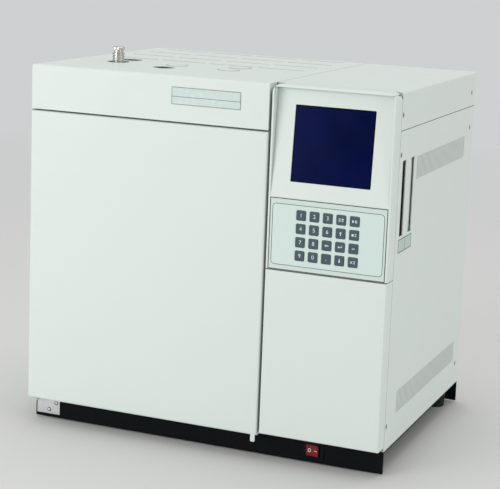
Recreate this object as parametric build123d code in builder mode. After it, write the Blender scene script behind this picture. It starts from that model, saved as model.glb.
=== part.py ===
from build123d import *
import math
import os

# Gas chromatograph, in millimetres: +Z up, front towards -Y, origin on the floor under the middle of the box.

os.makedirs("parts", exist_ok=True)

# ---------------------------------------------------------------- overall sizes
body_width = 550.0  # over the side panels
case_depth = 382.0  # side panels, front edge to rear edge
front_depth = 26.0  # the door and the front column stand this far before the side panels
rear_reach = 24.0  # gas fittings behind the case
body_height = 500.0  # side panels and top cover together
column_width = 176.5  # front column, with the display and the keypad
base_height = 34.0  # floor to the lower edge of the side panels
sheet = 1.5  # cover sheet
bend = 3.0  # outer radius of the folded edges
seam = 0.8  # hairline between two fixed covers
slip = 0.3  # clearance between pieces that are lifted off or moved
screw_flange = 12.0  # folded edges that the screws hold

# ---------------------------------------------------------------- base
apron_sheet = 2.5
apron_lift = 2.0
floor_sheet = 2.0
rail_width = 22.0
rail_height = 18.0
rail_inset = 62.0
foot_radius = 17.0
foot_taper = 2.0
foot_inset = 26.0
foot_setback = 32.0

# ---------------------------------------------------------------- covers
cover_flange = 52.0
brow_height = 64.0  # front strip above the door
port_radius = 16.5  # and places from the left side and the case's front edge
port_places = [(73.0, 101.0), (73.0, 144.0), (163.0, 72.0), (163.0, 115.0), (250.5, 106.0), (250.5, 149.0)]
vent_row_count = 4
vent_row_first = 178.0  # behind the case's front edge
vent_row_last = 24.0  # before its rear edge
vent_row_left = 28.0
vent_row_right = 30.0
vent_row_slots = 4
vent_row_width = 5.0
vent_bridge = 8.0
vent_slot_width = 2.2
vent_slot_pitch = 6.0
vent_height = 32.0
high_vent = (86.0, 50.0)  # ends of the field from the case's front and rear edges
high_vent_drop = 112.0  # its middle below the top
low_vent = (48.0, 36.0)
low_vent_rise = 59.0  # its middle above the lower edge of the side panels
window_width = 15.5
window_height = 104.5
window_drop = 146.7  # middle of the windows below the top
window_first = 24.6
window_pitch = 38.3
screw_hole_radius = 3.4
screw_from_front = 7.5
screw_from_rear = 20.0
screw_high = 31.0  # cover's screws below the top
screw_from_flange = 32.5  # panel's upper screws below its upper edge
screw_low = 35.0  # and its lower screws above its lower edge
fold_radius = 1.35  # outer radius of the side panels' rear edges
flow_slot = (4.0, 38.0)  # cooling slots in the rear panel, width and height
flow_slot_pitch = (10.0, 46.0)
flow_slot_column_count = 11
flow_slot_row_count = 3
flow_slot_rise = 250.0  # middle of the field above the lower edge of the side panels
flow_slot_inset = 68.0  # middle of the field from the right side
wall_setback = 4.0  # right face of the partition wall from the door's right edge
wall_slot = (8.0, 40.0)
wall_slot_pitch = 24.0
wall_slot_count = 5
wall_slot_depth = 210.0  # middle of the row behind the case's front edge
wall_slot_rise = 40.0  # above the insulation

# ---------------------------------------------------------------- door and hinges
door_depth = 20.0
door_lift = 2.5  # above the lower edge of the side panels
door_top_gap = 2.0
door_gap = 3.5  # between the door and the front column
hinge_inset = 6.0  # pin axis from the door's outer edge
hinge_setback = 12.0  # pin axis before the case's front edge
pin_radius = 2.5
pin_slip = 0.06
pin_reach = 13.0
collar_radius = 4.0
pull_width = 6.5
pull_drop = 9.5
pull_from_edge = 2.5
pull_round = 1.2
lug_wall = 3.0
lug_floor = 2.0
hinge_plate_width = 38.0
hinge_plate_height = 26.0
hinge_plate_sheet = 2.0
tongue_sheet = 2.5
tongue_margin = 2.0  # tongue around the hinge collar
collar_height = 0.5
top_collar_extra = 1.5
hinge_plate_inset = 3.0

# ---------------------------------------------------------------- oven
oven_side = 45.0  # cavity walls from the door's side edges
oven_floor = 80.0  # cavity floor above the bench
oven_headroom = 154.0  # cavity ceiling below the top
motor_room = 27.8  # between the fan motor and the rear panel
oven_sheet = 1.2
oven_riser = 40.0  # front flange above the lower edge of the brow
insulation_side = 28.0
insulation_top = 42.0
insulation_back = 40.0
insulation_fit = 0.2
insulation_corner = 6.0
plug_side_gap = 9.0
plug_depth = 6.0
plug_corner = 10.0
plug_taper = 4.0  # degrees
plug_chamfer = 2.0
pad_corner = 5.0
pad_from_lug = 3.0
gasket_width = 13.0
gasket_squeeze = 0.3
gasket_overlap = 3.0  # gasket outline beyond its own width around the opening
gasket_corner = 12.0
gasket_inner_corner = 6.0
gasket_chamfer = 1.5
duct_width = 60.0
duct_height = 44.0
duct_drop = 28.0  # duct axis below the cavity's ceiling
flap_lap = 6.0
flap_gap = 0.3
flap_sheet = 1.2
flap_pin_radius = 1.5
flap_barrel_radius = 3.0
flap_axis_out = 3.5
flap_pin_slip = 0.08
ear_sheet = 2.0
ear_gap = 0.6
ear_reach = 3.0
ear_half_height = 4.0

# ---------------------------------------------------------------- fan, heater and column
wheel_gap = 17.0  # fan wheel within the heater ring's middle line
wheel_depth = 22.0
wheel_back_gap = 6.0
blade_count = 12
blade_sheet = 1.5
blade_inner = 34.0
blade_sweep = 24.0
hub_radius = 12.0
shaft_radius = 4.0
shaft_slip = 0.05
shaft_wall_gap = 2.0
motor_radius = 32.0
motor_length = 52.0
motor_plate = 84.0
motor_plate_sheet = 3.0
motor_plate_corner = 8.0
motor_chamfer = 3.0
motor_boss_radius = 11.2
motor_boss = 5.0
shaft_in_motor = 31.2
baffle_gap = 22.0  # between the baffle's rim and the cavity walls
baffle_front = 46.0  # plate of the baffle before the back wall
baffle_corner = 14.0
outlet_front = 12.0  # air outlets in the baffle's rim, from its plate
outlet_back = 8.0  # and from its rear edge
outlet_end = 24.0  # and from its corners
intake_radius = 55.0
intake_rings = 3
intake_ring_step = 14.0
intake_spokes = 8
intake_width = 7.0
intake_share = 0.62  # radial length of an opening as a share of its ring's radius
intake_eye = 8.4
heater_gap = 26.0  # heater ring's middle line from the baffle's rim
heater_tube = 3.5
heater_leg_gap = 34.0
heater_tail = 8.0  # heater leg behind the insulation
column_gap = 60.0  # column ring's middle line from the cavity walls
column_bundle = 5.0
tube_sides = 8  # flats around the heater's and the column's section
column_front = 34.0  # column ring before the baffle plate
hook_radius = 2.5
hook_reach = 6.0  # hook end before the column ring
hook_rise = 9.0

# ---------------------------------------------------------------- injector, detector, plugs
block_side = 46.0
block_height = 64.0
block_corner = 3.0
stem_below = 8.0  # stems reach into the oven
groove_count = 3
groove_pitch = 4.2
groove_width = 1.6
groove_depth = 1.2
needle_length = 38.0
tower_radius = 9.0
tower_rise = 13.0
stub_radius = 5.0
stub_rise = 8.0
nut_neck_radius = 7.2
nut_cap_radius = 8.8
nut_neck_height = 4.5
nut_cap_height = 4.5
needle_radius = 1.0
nut_chamfer = 0.6
nut_hole_radius = 1.5
liner_stem_radius = 5.0
detector_radius = 12.0
detector_below_cover = 3.0
detector_block_height = 38.4
detector_collar = 20.0
detector_bore = 5.4
detector_bore_depth = 30.0
detector_chamfer = 1.0
plug_flange = 3.0
plug_flange_height = 2.0
plug_proud = 0.4

# ---------------------------------------------------------------- front column
lower_panel_lift = 6.5
keypad_zone = 102.5  # from the lower panel to the foot of the tilted display plate
ledge = 0.7  # under the keypad sheet
bezel_corner = 12.0
bezel_round = 2.0
bezel_wall = 2.5
lip = 3.5
recess_depth = 14.0
recess_height = 150.0  # upright height of the tilted display plate
display_width = 115.0
display_height = 105.0
display_middle = 75.0  # along the tilted plate, from its foot
display_glass = 1.8
display_corner = 1.5
module_margin = 5.0
module_depth = 7.0
keypad_sheet = 0.8
keypad_fit = 0.3
key_size = 14.0
key_corner = 1.5
key_pitch_x = 19.25
key_pitch_z = 18.7
key_columns = 5
key_rows = 4
key_matrix_drop = 50.5  # middle of the keys below the foot of the display plate
key_proud = 0.6
key_travel = 0.6
key_gap = 0.25
board_sheet = 1.6
board_margin = 6.0
board_plug = (40.0, 7.4, 8.0)  # length, depth and height of the ribbon connector
key_matrix_margin = 1.0
key_chamfer = 0.4

# ---------------------------------------------------------------- switch, flow tubes, services
switch_middle = 74.0  # from the front column's left edge
switch_drop = 14.2  # below the lower edge of the side panels
switch_corner = 1.2
switch_pit = 2.0  # free depth behind the rocker
switch_tail = (0.8, 8.0, 6.0)  # thickness, length and width of a terminal
switch_tail_pitch = 8.0
switch_width = 31.0
switch_height = 22.0
switch_flange = 1.5
rocker_width = 20.5
rocker_height = 15.5
rocker_swing = 16.0  # degrees from one stop to the other
rocker_gap = 0.4
rocker_tip_inset = 0.65
rocker_back = (10.0, 4.0)  # width behind the pivot, depth behind the pivot
pivot_setback = 3.0  # rocker pivot behind the apron's face
pivot_radius = 1.2
pivot_end_gap = 0.5
rocker_crown = 0.4  # rocker crest before the switch flange
rocker_round = 0.8
switch_wall = 2.0
switch_body_depth = 22.0
tube_radius = 6.5
tube_bore = 4.0
tube_panel_gap = 1.5
meter_block_height = 18.0
meter_block_depth = 17.0
meter_block_margin = 11.0
meter_block_gap = 2.0  # block from the window's end
meter_block_round = 2.0
tube_seat = 4.0
tube_fit = 0.1
float_tip_radius = 1.2
float_radius = 3.4
float_height = 9.0
inlet_width = 50.0
inlet_height = 23.0
socket_width = 27.0
socket_height = 19.0
socket_depth = 24.0
fitting_radius = 4.5
fitting_hex = 8.0
fitting_pitch = 34.0
fitting_count = 3
fitting_inset = 60.0  # first gas fitting from the right side
fitting_drop = 96.0  # gas fittings below the top
gas_plate_height = 144.0  # upper rear plate, which carries the gas fittings
fitting_bore = 1.6
fitting_hole_slip = 0.1
fitting_inside = 16.0  # stem before the rear panel
fitting_nut = 5.0
fitting_body = 6.0
fitting_cap = 8.0
fitting_cap_hex = 7.2
fitting_cap_setback = 9.0  # cap nut from the end of the fitting
inlet_inset = 62.0  # power inlet from the right side
inlet_rise = 62.0  # power inlet above the lower edge of the side panels
inlet_plate = 3.0
inlet_corner = 5.0
socket_wall = 2.0
socket_floor = 4.0
contact = (2.0, 4.0)  # width and height of an inlet contact
contact_places = [(-7.0, -1.5), (0.0, 2.5), (7.0, -1.5)]
contact_setback = 2.0
board_wall_gap = 9.0
board_y_span = (40.0, 250.0)  # behind the case's front edge
board_z_span = (150.0, 330.0)  # above the lower edge of the side panels
standoff_radius = 3.0
standoff_inset = 8.0
standoff_proud = 1.4
chips = [
    (60.0, 120.0, 44.0, 44.0, 4.0),
    (140.0, 120.0, 30.0, 12.0, 3.0),
    (140.0, 90.0, 30.0, 12.0, 3.0),
    (60.0, 50.0, 50.0, 14.0, 9.0),
    (150.0, 40.0, 70.0, 22.0, 14.0),
    (110.0, 160.0, 60.0, 9.0, 8.0),
]  # place from the board's front lower corner, length, height, thickness
core_size = (76.0, 52.0, 66.0)
core_from_wall = 46.0
core_from_rear = 98.0
core_leg = 13.0
core_yoke = 12.0
coil_reach = 16.0
coil_round = 10.0
core_foot = 12.0
core_foot_sheet = 2.5

# ---------------------------------------------------------------- places
total_depth = key_proud + front_depth + case_depth + rear_reach
y_front = -total_depth / 2 + key_proud
y_case = y_front + front_depth
y_rear = y_case + case_depth
x_left = -body_width / 2
x_right = body_width / 2
z_case = base_height
z_top = base_height + body_height
z_flange = z_top - cover_flange
z_brow = z_top - brow_height
x_column = x_right - column_width
x_door = x_column - door_gap
z_door = z_case + door_lift
z_door_top = z_brow - door_top_gap
y_panel = y_rear - 2 * sheet  # inner face of the rear panel
y_panel_out = y_rear - sheet
x_wall = x_door - wall_setback
x_oven = (x_left + x_door) / 2
oven_x = (x_left + oven_side, x_door - oven_side)
oven_z = (oven_floor, z_top - oven_headroom)
oven_half = min(oven_x[1] - oven_x[0], oven_z[1] - oven_z[0]) / 2
y_motor = y_panel - motor_room - motor_boss - motor_length
y_wool_back = y_motor - motor_plate_sheet
y_oven_back = y_wool_back - insulation_back - oven_sheet
z_wool_top = oven_z[1] + insulation_top
z_fan = (oven_z[0] + oven_z[1]) / 2
z_duct = oven_z[1] - duct_drop
ports = [(x_left + place[0], y_case + place[1]) for place in port_places]
column_radius = oven_half - column_gap
heater_radius = oven_half - baffle_gap - heater_gap
wheel_radius = heater_radius - wheel_gap
hinge_x = x_left + hinge_inset
hinge_y = y_case - hinge_setback
y_door_back = y_front + door_depth
half_leg = math.asin(heater_leg_gap / 2 / heater_radius)
leg_z = z_fan - heater_radius * math.cos(half_leg)
switch_x = x_column + switch_middle
switch_z = z_case - switch_drop
switch_half = (rocker_width / 2 + rocker_gap + switch_wall, rocker_height / 2 + rocker_gap + switch_wall)


def block(x, y, z, mode=Mode.ADD):
    """Add a box between two planes on each axis, given as (low, high) pairs."""
    with Locations(((x[0] + x[1]) / 2, (y[0] + y[1]) / 2, (z[0] + z[1]) / 2)):
        Box(x[1] - x[0], y[1] - y[0], z[1] - z[0], mode=mode)


def rod(radius, x, y, z, mode=Mode.ADD):
    """Add a cylinder along the one axis that is given as a (low, high) pair."""
    if isinstance(x, tuple):
        turn, middle, length = (0, 90, 0), ((x[0] + x[1]) / 2, y, z), x[1] - x[0]
    elif isinstance(y, tuple):
        turn, middle, length = (90, 0, 0), (x, (y[0] + y[1]) / 2, z), y[1] - y[0]
    else:
        turn, middle, length = (0, 0, 0), (x, y, (z[0] + z[1]) / 2), z[1] - z[0]
    with Locations(Location(middle, turn)):
        Cylinder(radius, length, mode=mode)


def save(name, builder):
    """Label a finished piece and write its STEP file."""
    builder.part.label = name
    export_step(builder.part, f"parts/{name}.step")


# ================================================================ base
with BuildPart() as base_frame:
    block((x_left, x_right), (y_case, y_rear), (z_case - floor_sheet, z_case))
    block((x_left, x_right), (y_case, y_case + apron_sheet), (apron_lift, z_case))
    block((x_left, x_right), (y_rear - apron_sheet, y_rear), (apron_lift, z_case))
    rail_top = z_case - floor_sheet
    for side in (-1, 1):
        rail_x = side * (body_width / 2 - rail_inset)
        with BuildSketch(Plane.XZ.offset(-(y_case + apron_sheet))):
            with Locations((rail_x, rail_top - rail_height / 2)):
                Rectangle(rail_width, rail_height)
            with Locations((rail_x, rail_top - (rail_height - floor_sheet) / 2)):
                Rectangle(rail_width - 2 * floor_sheet, rail_height - floor_sheet, mode=Mode.SUBTRACT)
        extrude(amount=-(case_depth - 2 * apron_sheet))
    block(
        (switch_x - switch_half[0] - slip, switch_x + switch_half[0] + slip),
        (y_case - 1, y_case + apron_sheet + 1),
        (switch_z - switch_half[1] - slip, switch_z + switch_half[1] + slip),
        mode=Mode.SUBTRACT,
    )
save("base_frame", base_frame)

with BuildPart() as rubber_feet:
    foot_x = body_width / 2 - foot_inset
    foot_places = [
        (side * foot_x, depth) for side in (-1, 1) for depth in (y_case + foot_setback, y_rear - foot_setback)
    ]
    for place in foot_places:
        with Locations((place[0], place[1], rail_top / 2)):
            Cone(foot_radius - foot_taper, foot_radius, rail_top)
save("rubber_feet", rubber_feet)


# ================================================================ side and rear panels
def side_tray(inner_x, outer_x):
    """Add a side panel between two X planes, with its folded top, bottom and rear edges."""
    inward = 1 if outer_x < inner_x else -1
    fold = sorted((outer_x, inner_x + inward * (screw_flange - sheet)))
    panel_z = (z_case, z_flange - seam)
    fold_y = (y_case + oven_sheet + slip, y_panel)
    block(sorted((inner_x, outer_x)), (y_case + seam, y_rear), panel_z)
    block(fold, fold_y, (panel_z[0], panel_z[0] + sheet))
    block(fold, fold_y, (panel_z[1] - sheet, panel_z[1]))
    block(fold, (y_rear - sheet, y_rear), panel_z)
    outer = faces().sort_by(Axis.X)[0 if inward > 0 else -1]
    fillet(outer.edges().filter_by(Axis.Z).sort_by(Axis.Y)[-1:], fold_radius)


def vent_field(ends, z):
    """Cut a field of upright slots through the right side panel."""
    length = case_depth - ends[0] - ends[1]
    with BuildSketch(Plane.YZ.offset(x_right)) as slot_field:
        with Locations((y_case + ends[0] + length / 2, z)):
            with GridLocations(vent_slot_pitch, 1, int(length // vent_slot_pitch) + 1, 1):
                Rectangle(vent_slot_width, vent_height)
    extrude(slot_field.sketch, amount=-2 * sheet, mode=Mode.SUBTRACT)


def screw_holes(outer_x, heights):
    """Bore the screw holes near the front and rear edges of a side."""
    inward = 1 if outer_x < 0 else -1
    for depth in (y_case + screw_from_front, y_rear - screw_from_rear):
        for height in heights:
            through = tuple(sorted((outer_x - inward, outer_x + 2 * inward * sheet)))
            rod(screw_hole_radius, through, depth, height, mode=Mode.SUBTRACT)


panel_screws = (z_case + screw_low, z_flange - seam - screw_from_flange)
with BuildPart() as left_side_panel:
    side_tray(x_left + sheet, x_left)
    screw_holes(x_left, panel_screws)
save("left_side_panel", left_side_panel)

window_y = [y_case + window_first + index * window_pitch for index in range(2)]
window_z = (z_top - window_drop - window_height / 2, z_top - window_drop + window_height / 2)
with BuildPart() as right_side_panel:
    side_tray(x_right - sheet, x_right)
    screw_holes(x_right, panel_screws)
    vent_field(high_vent, z_top - high_vent_drop)
    vent_field(low_vent, z_case + low_vent_rise)
    with BuildSketch(Plane.YZ.offset(x_right)):
        for middle in window_y:
            with Locations((middle, z_top - window_drop)):
                Rectangle(window_width, window_height)
    extrude(amount=-2 * sheet, mode=Mode.SUBTRACT)
save("right_side_panel", right_side_panel)

inlet_x = x_right - inlet_inset
inlet_z = z_case + inlet_rise
fitting_x = [x_right - fitting_inset - index * fitting_pitch for index in range(fitting_count)]
fitting_z = z_top - fitting_drop
z_seam = z_top - gas_plate_height
flap_pin_z = z_duct + duct_height / 2 + flap_lap + flap_barrel_radius
flap_half = duct_width / 2 + flap_lap
through = (y_panel - 1, y_panel_out + 1)
with BuildPart() as rear_panel:
    block((x_left + sheet + slip, x_right - sheet - slip), (y_panel, y_panel_out), (z_case, z_top - sheet))
    block(
        (x_oven - duct_width / 2, x_oven + duct_width / 2),
        through,
        (z_duct - duct_height / 2, z_duct + duct_height / 2),
        mode=Mode.SUBTRACT,
    )
    block(
        (inlet_x - socket_width / 2 - slip, inlet_x + socket_width / 2 + slip),
        through,
        (inlet_z - socket_height / 2 - slip, inlet_z + socket_height / 2 + slip),
        mode=Mode.SUBTRACT,
    )
    for place in fitting_x:
        rod(fitting_radius + fitting_hole_slip, place, through, fitting_z, mode=Mode.SUBTRACT)
    with BuildSketch(Plane.XZ.offset(-y_panel)):
        with Locations((x_right - flow_slot_inset, z_case + flow_slot_rise)):
            with GridLocations(*flow_slot_pitch, flow_slot_column_count, flow_slot_row_count):
                Rectangle(*flow_slot)
    extrude(amount=-sheet, mode=Mode.SUBTRACT)
    # three plates butt behind the partition wall: the oven's, the mains' and the gas fittings'
    seam_x = x_wall - sheet / 2
    block((seam_x - slip / 2, seam_x + slip / 2), through, (z_case - 1, z_top), mode=Mode.SUBTRACT)
    block((seam_x, x_right), through, (z_seam - slip / 2, z_seam + slip / 2), mode=Mode.SUBTRACT)
    # the ears and their pin are a bracket of their own, seated on the panel
    for side in (-1, 1):
        ear = sorted((x_oven + side * (flap_half + ear_gap), x_oven + side * (flap_half + ear_gap + ear_sheet)))
        block(
            ear,
            (y_panel_out + slip, y_panel_out + flap_axis_out + ear_reach),
            (flap_pin_z - ear_half_height, flap_pin_z + ear_half_height),
        )
    rod(
        flap_pin_radius,
        (x_oven - flap_half - ear_gap - ear_sheet / 2, x_oven + flap_half + ear_gap + ear_sheet / 2),
        y_panel_out + flap_axis_out,
        flap_pin_z,
    )
save("rear_panel", rear_panel)

with BuildPart() as exhaust_flap:
    flap_y = (y_panel_out + flap_gap, y_panel_out + flap_gap + flap_sheet)
    block(
        (x_oven - flap_half, x_oven + flap_half),
        flap_y,
        (z_duct - duct_height / 2 - flap_lap, flap_pin_z),
    )
    rod(
        flap_barrel_radius,
        (x_oven - flap_half, x_oven + flap_half),
        y_panel_out + flap_axis_out,
        flap_pin_z,
    )
    rod(
        flap_pin_radius + flap_pin_slip,
        (x_oven - flap_half - 1, x_oven + flap_half + 1),
        y_panel_out + flap_axis_out,
        flap_pin_z,
        mode=Mode.SUBTRACT,
    )
save("exhaust_flap", exhaust_flap)

# ================================================================ top covers
x_top_seam = x_door + seam
with BuildPart() as left_top_cover:
    block((x_left, x_door), (y_front, y_rear), (z_brow, z_top))
    upper = edges().filter_by(Axis.X).group_by(Axis.Z)[-1]
    sides = edges().filter_by(Axis.Z).filter_by_position(Axis.X, x_left - 1, x_left + 1)
    along = edges().filter_by(Axis.Y).group_by(Axis.Z)[-1].sort_by(Axis.X)[0]
    fillet(upper + sides + [along], bend)
    block(
        (x_left + sheet, x_door - sheet),
        (y_front + sheet, y_rear - sheet),
        (z_brow - 1, z_top - sheet),
        mode=Mode.SUBTRACT,
    )
    block(
        (x_left - 1, x_door + 1),
        (y_case, y_rear + 1),
        (z_brow - 1, z_flange),
        mode=Mode.SUBTRACT,
    )
    block((x_door - sheet, x_door + 1), (y_panel, y_rear - sheet), (z_brow, z_top - sheet), mode=Mode.SUBTRACT)
    with BuildSketch(Plane.XY.offset(z_top)):
        with Locations(*ports):
            Circle(port_radius)
        row_x = (x_left + vent_row_left, x_door - vent_row_right)
        row_y = (y_case + vent_row_first, y_rear - vent_row_last)
        row_pitch = (row_y[1] - row_y[0]) / (vent_row_count - 1)
        slot_pitch = (row_x[1] - row_x[0] + vent_bridge) / vent_row_slots
        with Locations(((row_x[0] + row_x[1]) / 2, (row_y[0] + row_y[1]) / 2)):
            with GridLocations(slot_pitch, row_pitch, vent_row_slots, vent_row_count):
                Rectangle(slot_pitch - vent_bridge, vent_row_width)
    extrude(amount=-2 * sheet, mode=Mode.SUBTRACT)
    screw_holes(x_left, (z_top - screw_high,))
save("left_top_cover", left_top_cover)

with BuildPart() as right_top_cover:
    block((x_top_seam, x_right), (y_case + seam, y_rear), (z_flange, z_top))
    upper = edges().filter_by(Axis.Y).group_by(Axis.Z)[-1].sort_by(Axis.X)[-1]
    behind = edges().filter_by(Axis.X).group_by(Axis.Z)[-1].sort_by(Axis.Y)[-1]
    corner = edges().filter_by(Axis.Z).sort_by(lambda edge: edge.center().X + edge.center().Y)[-1]
    fillet([upper, behind, corner], bend)
    block(
        (x_top_seam - 1, x_right - sheet),
        (y_case - 1, y_rear - sheet),
        (z_flange - 1, z_top - sheet),
        mode=Mode.SUBTRACT,
    )
    screw_holes(x_right, (z_top - screw_high,))
save("right_top_cover", right_top_cover)

with BuildPart() as partition_wall:
    block((x_wall - sheet, x_wall), (y_case, y_panel), (z_case, z_top - sheet))
    block((x_wall - sheet, x_wall + screw_flange), (y_case, y_case + sheet), (z_case, z_brow))
    with BuildSketch(Plane.YZ.offset(x_wall - sheet)):
        with Locations((y_case + wall_slot_depth, z_wool_top + wall_slot_rise)):
            with GridLocations(wall_slot_pitch, 1, wall_slot_count, 1):
                Rectangle(*wall_slot)
    extrude(amount=sheet, mode=Mode.SUBTRACT)
save("partition_wall", partition_wall)

# ================================================================ oven
flange_x = (x_left + sheet + slip, x_wall - sheet - slip)
with BuildPart() as oven_liner:
    shell_x = (oven_x[0] - oven_sheet, oven_x[1] + oven_sheet)
    shell_z = (oven_z[0] - oven_sheet, oven_z[1] + oven_sheet)
    block(shell_x, (y_case, y_oven_back + oven_sheet), shell_z)
    block(flange_x, (y_case, y_case + oven_sheet), (z_case, z_brow + oven_riser))
    block(oven_x, (y_case - 1, y_oven_back), oven_z, mode=Mode.SUBTRACT)
    block(
        (x_oven - duct_width / 2 - oven_sheet, x_oven + duct_width / 2 + oven_sheet),
        (y_oven_back, y_panel),
        (z_duct - duct_height / 2 - oven_sheet, z_duct + duct_height / 2 + oven_sheet),
    )
    block(
        (x_oven - duct_width / 2, x_oven + duct_width / 2),
        (y_oven_back - 1, y_panel + 1),
        (z_duct - duct_height / 2, z_duct + duct_height / 2),
        mode=Mode.SUBTRACT,
    )
    rod(shaft_radius + shaft_wall_gap, x_oven, (y_oven_back - 1, y_oven_back + 3), z_fan, mode=Mode.SUBTRACT)
    for side in (-1, 1):
        rod(
            heater_tube + slip,
            x_oven + side * heater_leg_gap / 2,
            (y_oven_back - 1, y_oven_back + 3),
            leg_z,
            mode=Mode.SUBTRACT,
        )
    for place in (ports[0], ports[2]):
        stem = (oven_z[1] - 1, oven_z[1] + oven_sheet + 1)
        rod(liner_stem_radius + slip, place[0], place[1], stem, mode=Mode.SUBTRACT)
save("oven_liner", oven_liner)

with BuildPart() as oven_insulation:
    wool_x = (oven_x[0] - insulation_side, oven_x[1] + insulation_side)
    block(wool_x, (y_case + oven_sheet, y_wool_back), (z_case, z_wool_top))
    chamfer(edges().filter_by(Axis.Y), insulation_corner)
    block(
        (shell_x[0] - insulation_fit, shell_x[1] + insulation_fit),
        (y_case, y_oven_back + oven_sheet + insulation_fit),
        (shell_z[0] - insulation_fit, shell_z[1] + insulation_fit),
        mode=Mode.SUBTRACT,
    )
    block(
        (x_oven - duct_width / 2 - oven_sheet - slip, x_oven + duct_width / 2 + oven_sheet + slip),
        (y_oven_back, y_wool_back + 1),
        (z_duct - duct_height / 2 - oven_sheet - slip, z_duct + duct_height / 2 + oven_sheet + slip),
        mode=Mode.SUBTRACT,
    )
    rod(shaft_radius + shaft_wall_gap, x_oven, (y_oven_back, y_wool_back + 1), z_fan, mode=Mode.SUBTRACT)
    for side in (-1, 1):
        rod(
            heater_tube + slip,
            x_oven + side * heater_leg_gap / 2,
            (y_oven_back, y_wool_back + 1),
            leg_z,
            mode=Mode.SUBTRACT,
        )
    for place in (ports[0], ports[2]):
        stem = (oven_z[1], z_wool_top + 1)
        rod(liner_stem_radius + slip, place[0], place[1], stem, mode=Mode.SUBTRACT)
save("oven_insulation", oven_insulation)

with BuildPart() as fan_baffle:
    y_baffle = y_oven_back - baffle_front
    baffle_x = (oven_x[0] + baffle_gap, oven_x[1] - baffle_gap)
    baffle_z = (oven_z[0] + baffle_gap, oven_z[1] - baffle_gap)
    block(baffle_x, (y_baffle, y_oven_back), baffle_z)
    fillet(edges().filter_by(Axis.Y), baffle_corner)
    block(
        (baffle_x[0] + oven_sheet, baffle_x[1] - oven_sheet),
        (y_baffle + oven_sheet, y_oven_back + 1),
        (baffle_z[0] + oven_sheet, baffle_z[1] - oven_sheet),
        mode=Mode.SUBTRACT,
    )
    outlet_y = (y_baffle + outlet_front, y_oven_back - outlet_back)
    outlet_x = (baffle_x[0] + outlet_end, baffle_x[1] - outlet_end)
    outlet_z = (baffle_z[0] + outlet_end, baffle_z[1] - outlet_end)
    for wall in baffle_x:
        block((wall - 2 * oven_sheet, wall + 2 * oven_sheet), outlet_y, outlet_z, mode=Mode.SUBTRACT)
    for wall in baffle_z:
        block(outlet_x, outlet_y, (wall - 2 * oven_sheet, wall + 2 * oven_sheet), mode=Mode.SUBTRACT)
    with BuildSketch(Plane.XZ.offset(-y_baffle)):
        with Locations((x_oven, z_fan)):
            Circle(intake_eye)
            for ring in range(intake_rings):
                ring_radius = intake_radius - intake_ring_step * (intake_rings - 1 - ring)
                with PolarLocations(ring_radius, intake_spokes, start_angle=ring * 180 / intake_spokes):
                    Rectangle(intake_width, ring_radius * intake_share)
    extrude(amount=-oven_sheet, mode=Mode.SUBTRACT)
    y_column = y_baffle - column_front
    y_hook = y_column - column_bundle - hook_reach
    hook_ring = column_radius - column_bundle - slip - hook_radius
    hook_turn = math.pi / intake_spokes  # from the top to the nearest bridge between two intake openings
    hook_z = z_fan + hook_ring * math.cos(hook_turn)
    for side in (-1, 1):
        hook_x = x_oven + side * hook_ring * math.sin(hook_turn)
        rod(hook_radius, hook_x, (y_hook, y_baffle + oven_sheet), hook_z)
        rod(hook_radius, hook_x, y_hook + hook_radius, (hook_z, hook_z + hook_rise))
save("fan_baffle", fan_baffle)

with BuildPart() as fan_wheel:
    wheel_y = (y_oven_back - wheel_back_gap - wheel_depth, y_oven_back - wheel_back_gap)
    rod(wheel_radius, x_oven, (wheel_y[1] - blade_sheet, wheel_y[1]), z_fan)
    rod(hub_radius, x_oven, wheel_y, z_fan)
    with BuildSketch(Plane.XZ.offset(-wheel_y[0])):
        with Locations((x_oven, z_fan)):
            with PolarLocations((wheel_radius + blade_inner) / 2, blade_count):
                Rectangle(wheel_radius - blade_inner, blade_sheet, rotation=blade_sweep)
    extrude(amount=-wheel_depth)
    rod(shaft_radius, x_oven, (wheel_y[1], y_motor + shaft_in_motor), z_fan)
save("fan_wheel", fan_wheel)

with BuildPart() as fan_motor:
    plate = motor_plate / 2
    block((x_oven - plate, x_oven + plate), (y_wool_back, y_motor), (z_fan - plate, z_fan + plate))
    fillet(edges().filter_by(Axis.Y), motor_plate_corner)
    rod(motor_radius, x_oven, (y_motor, y_motor + motor_length), z_fan)
    chamfer(faces().sort_by(Axis.Y)[-1].edges(), motor_chamfer)
    rod(motor_boss_radius, x_oven, (y_motor + motor_length - 1, y_motor + motor_length + motor_boss), z_fan)
    bore_y = (y_wool_back - 1, y_motor + shaft_in_motor + 1)
    rod(shaft_radius + shaft_slip, x_oven, bore_y, z_fan, mode=Mode.SUBTRACT)
save("fan_motor", fan_motor)

with BuildPart() as heater_coil:
    y_heater = y_oven_back - wheel_back_gap - wheel_depth / 2
    half_gap = math.degrees(half_leg)
    with BuildLine(Plane.XZ.offset(-y_heater)) as heater_path:
        CenterArc((x_oven, z_fan), heater_radius, -90 + half_gap, 360 - 2 * half_gap)
    with BuildSketch(Plane(origin=heater_path.line @ 0, z_dir=heater_path.line % 0)):
        RegularPolygon(heater_tube, tube_sides)
    sweep()
    with BuildSketch(Plane.XZ.offset(heater_tube - y_heater)):
        with Locations((x_oven - heater_leg_gap / 2, leg_z), (x_oven + heater_leg_gap / 2, leg_z)):
            RegularPolygon(heater_tube, tube_sides)
    extrude(amount=y_heater - heater_tube - y_wool_back - heater_tail)
save("heater_coil", heater_coil)

with BuildPart() as column_coil:
    with BuildSketch(Plane(origin=(x_oven, y_column, z_fan), x_dir=(1, 0, 0), z_dir=(0, 0, 1))):
        with Locations((column_radius, 0)):
            RegularPolygon(column_bundle, tube_sides)
    revolve(axis=Axis((x_oven, y_column, z_fan), (0, 1, 0)), revolution_arc=360)
save("column_coil", column_coil)

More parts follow.
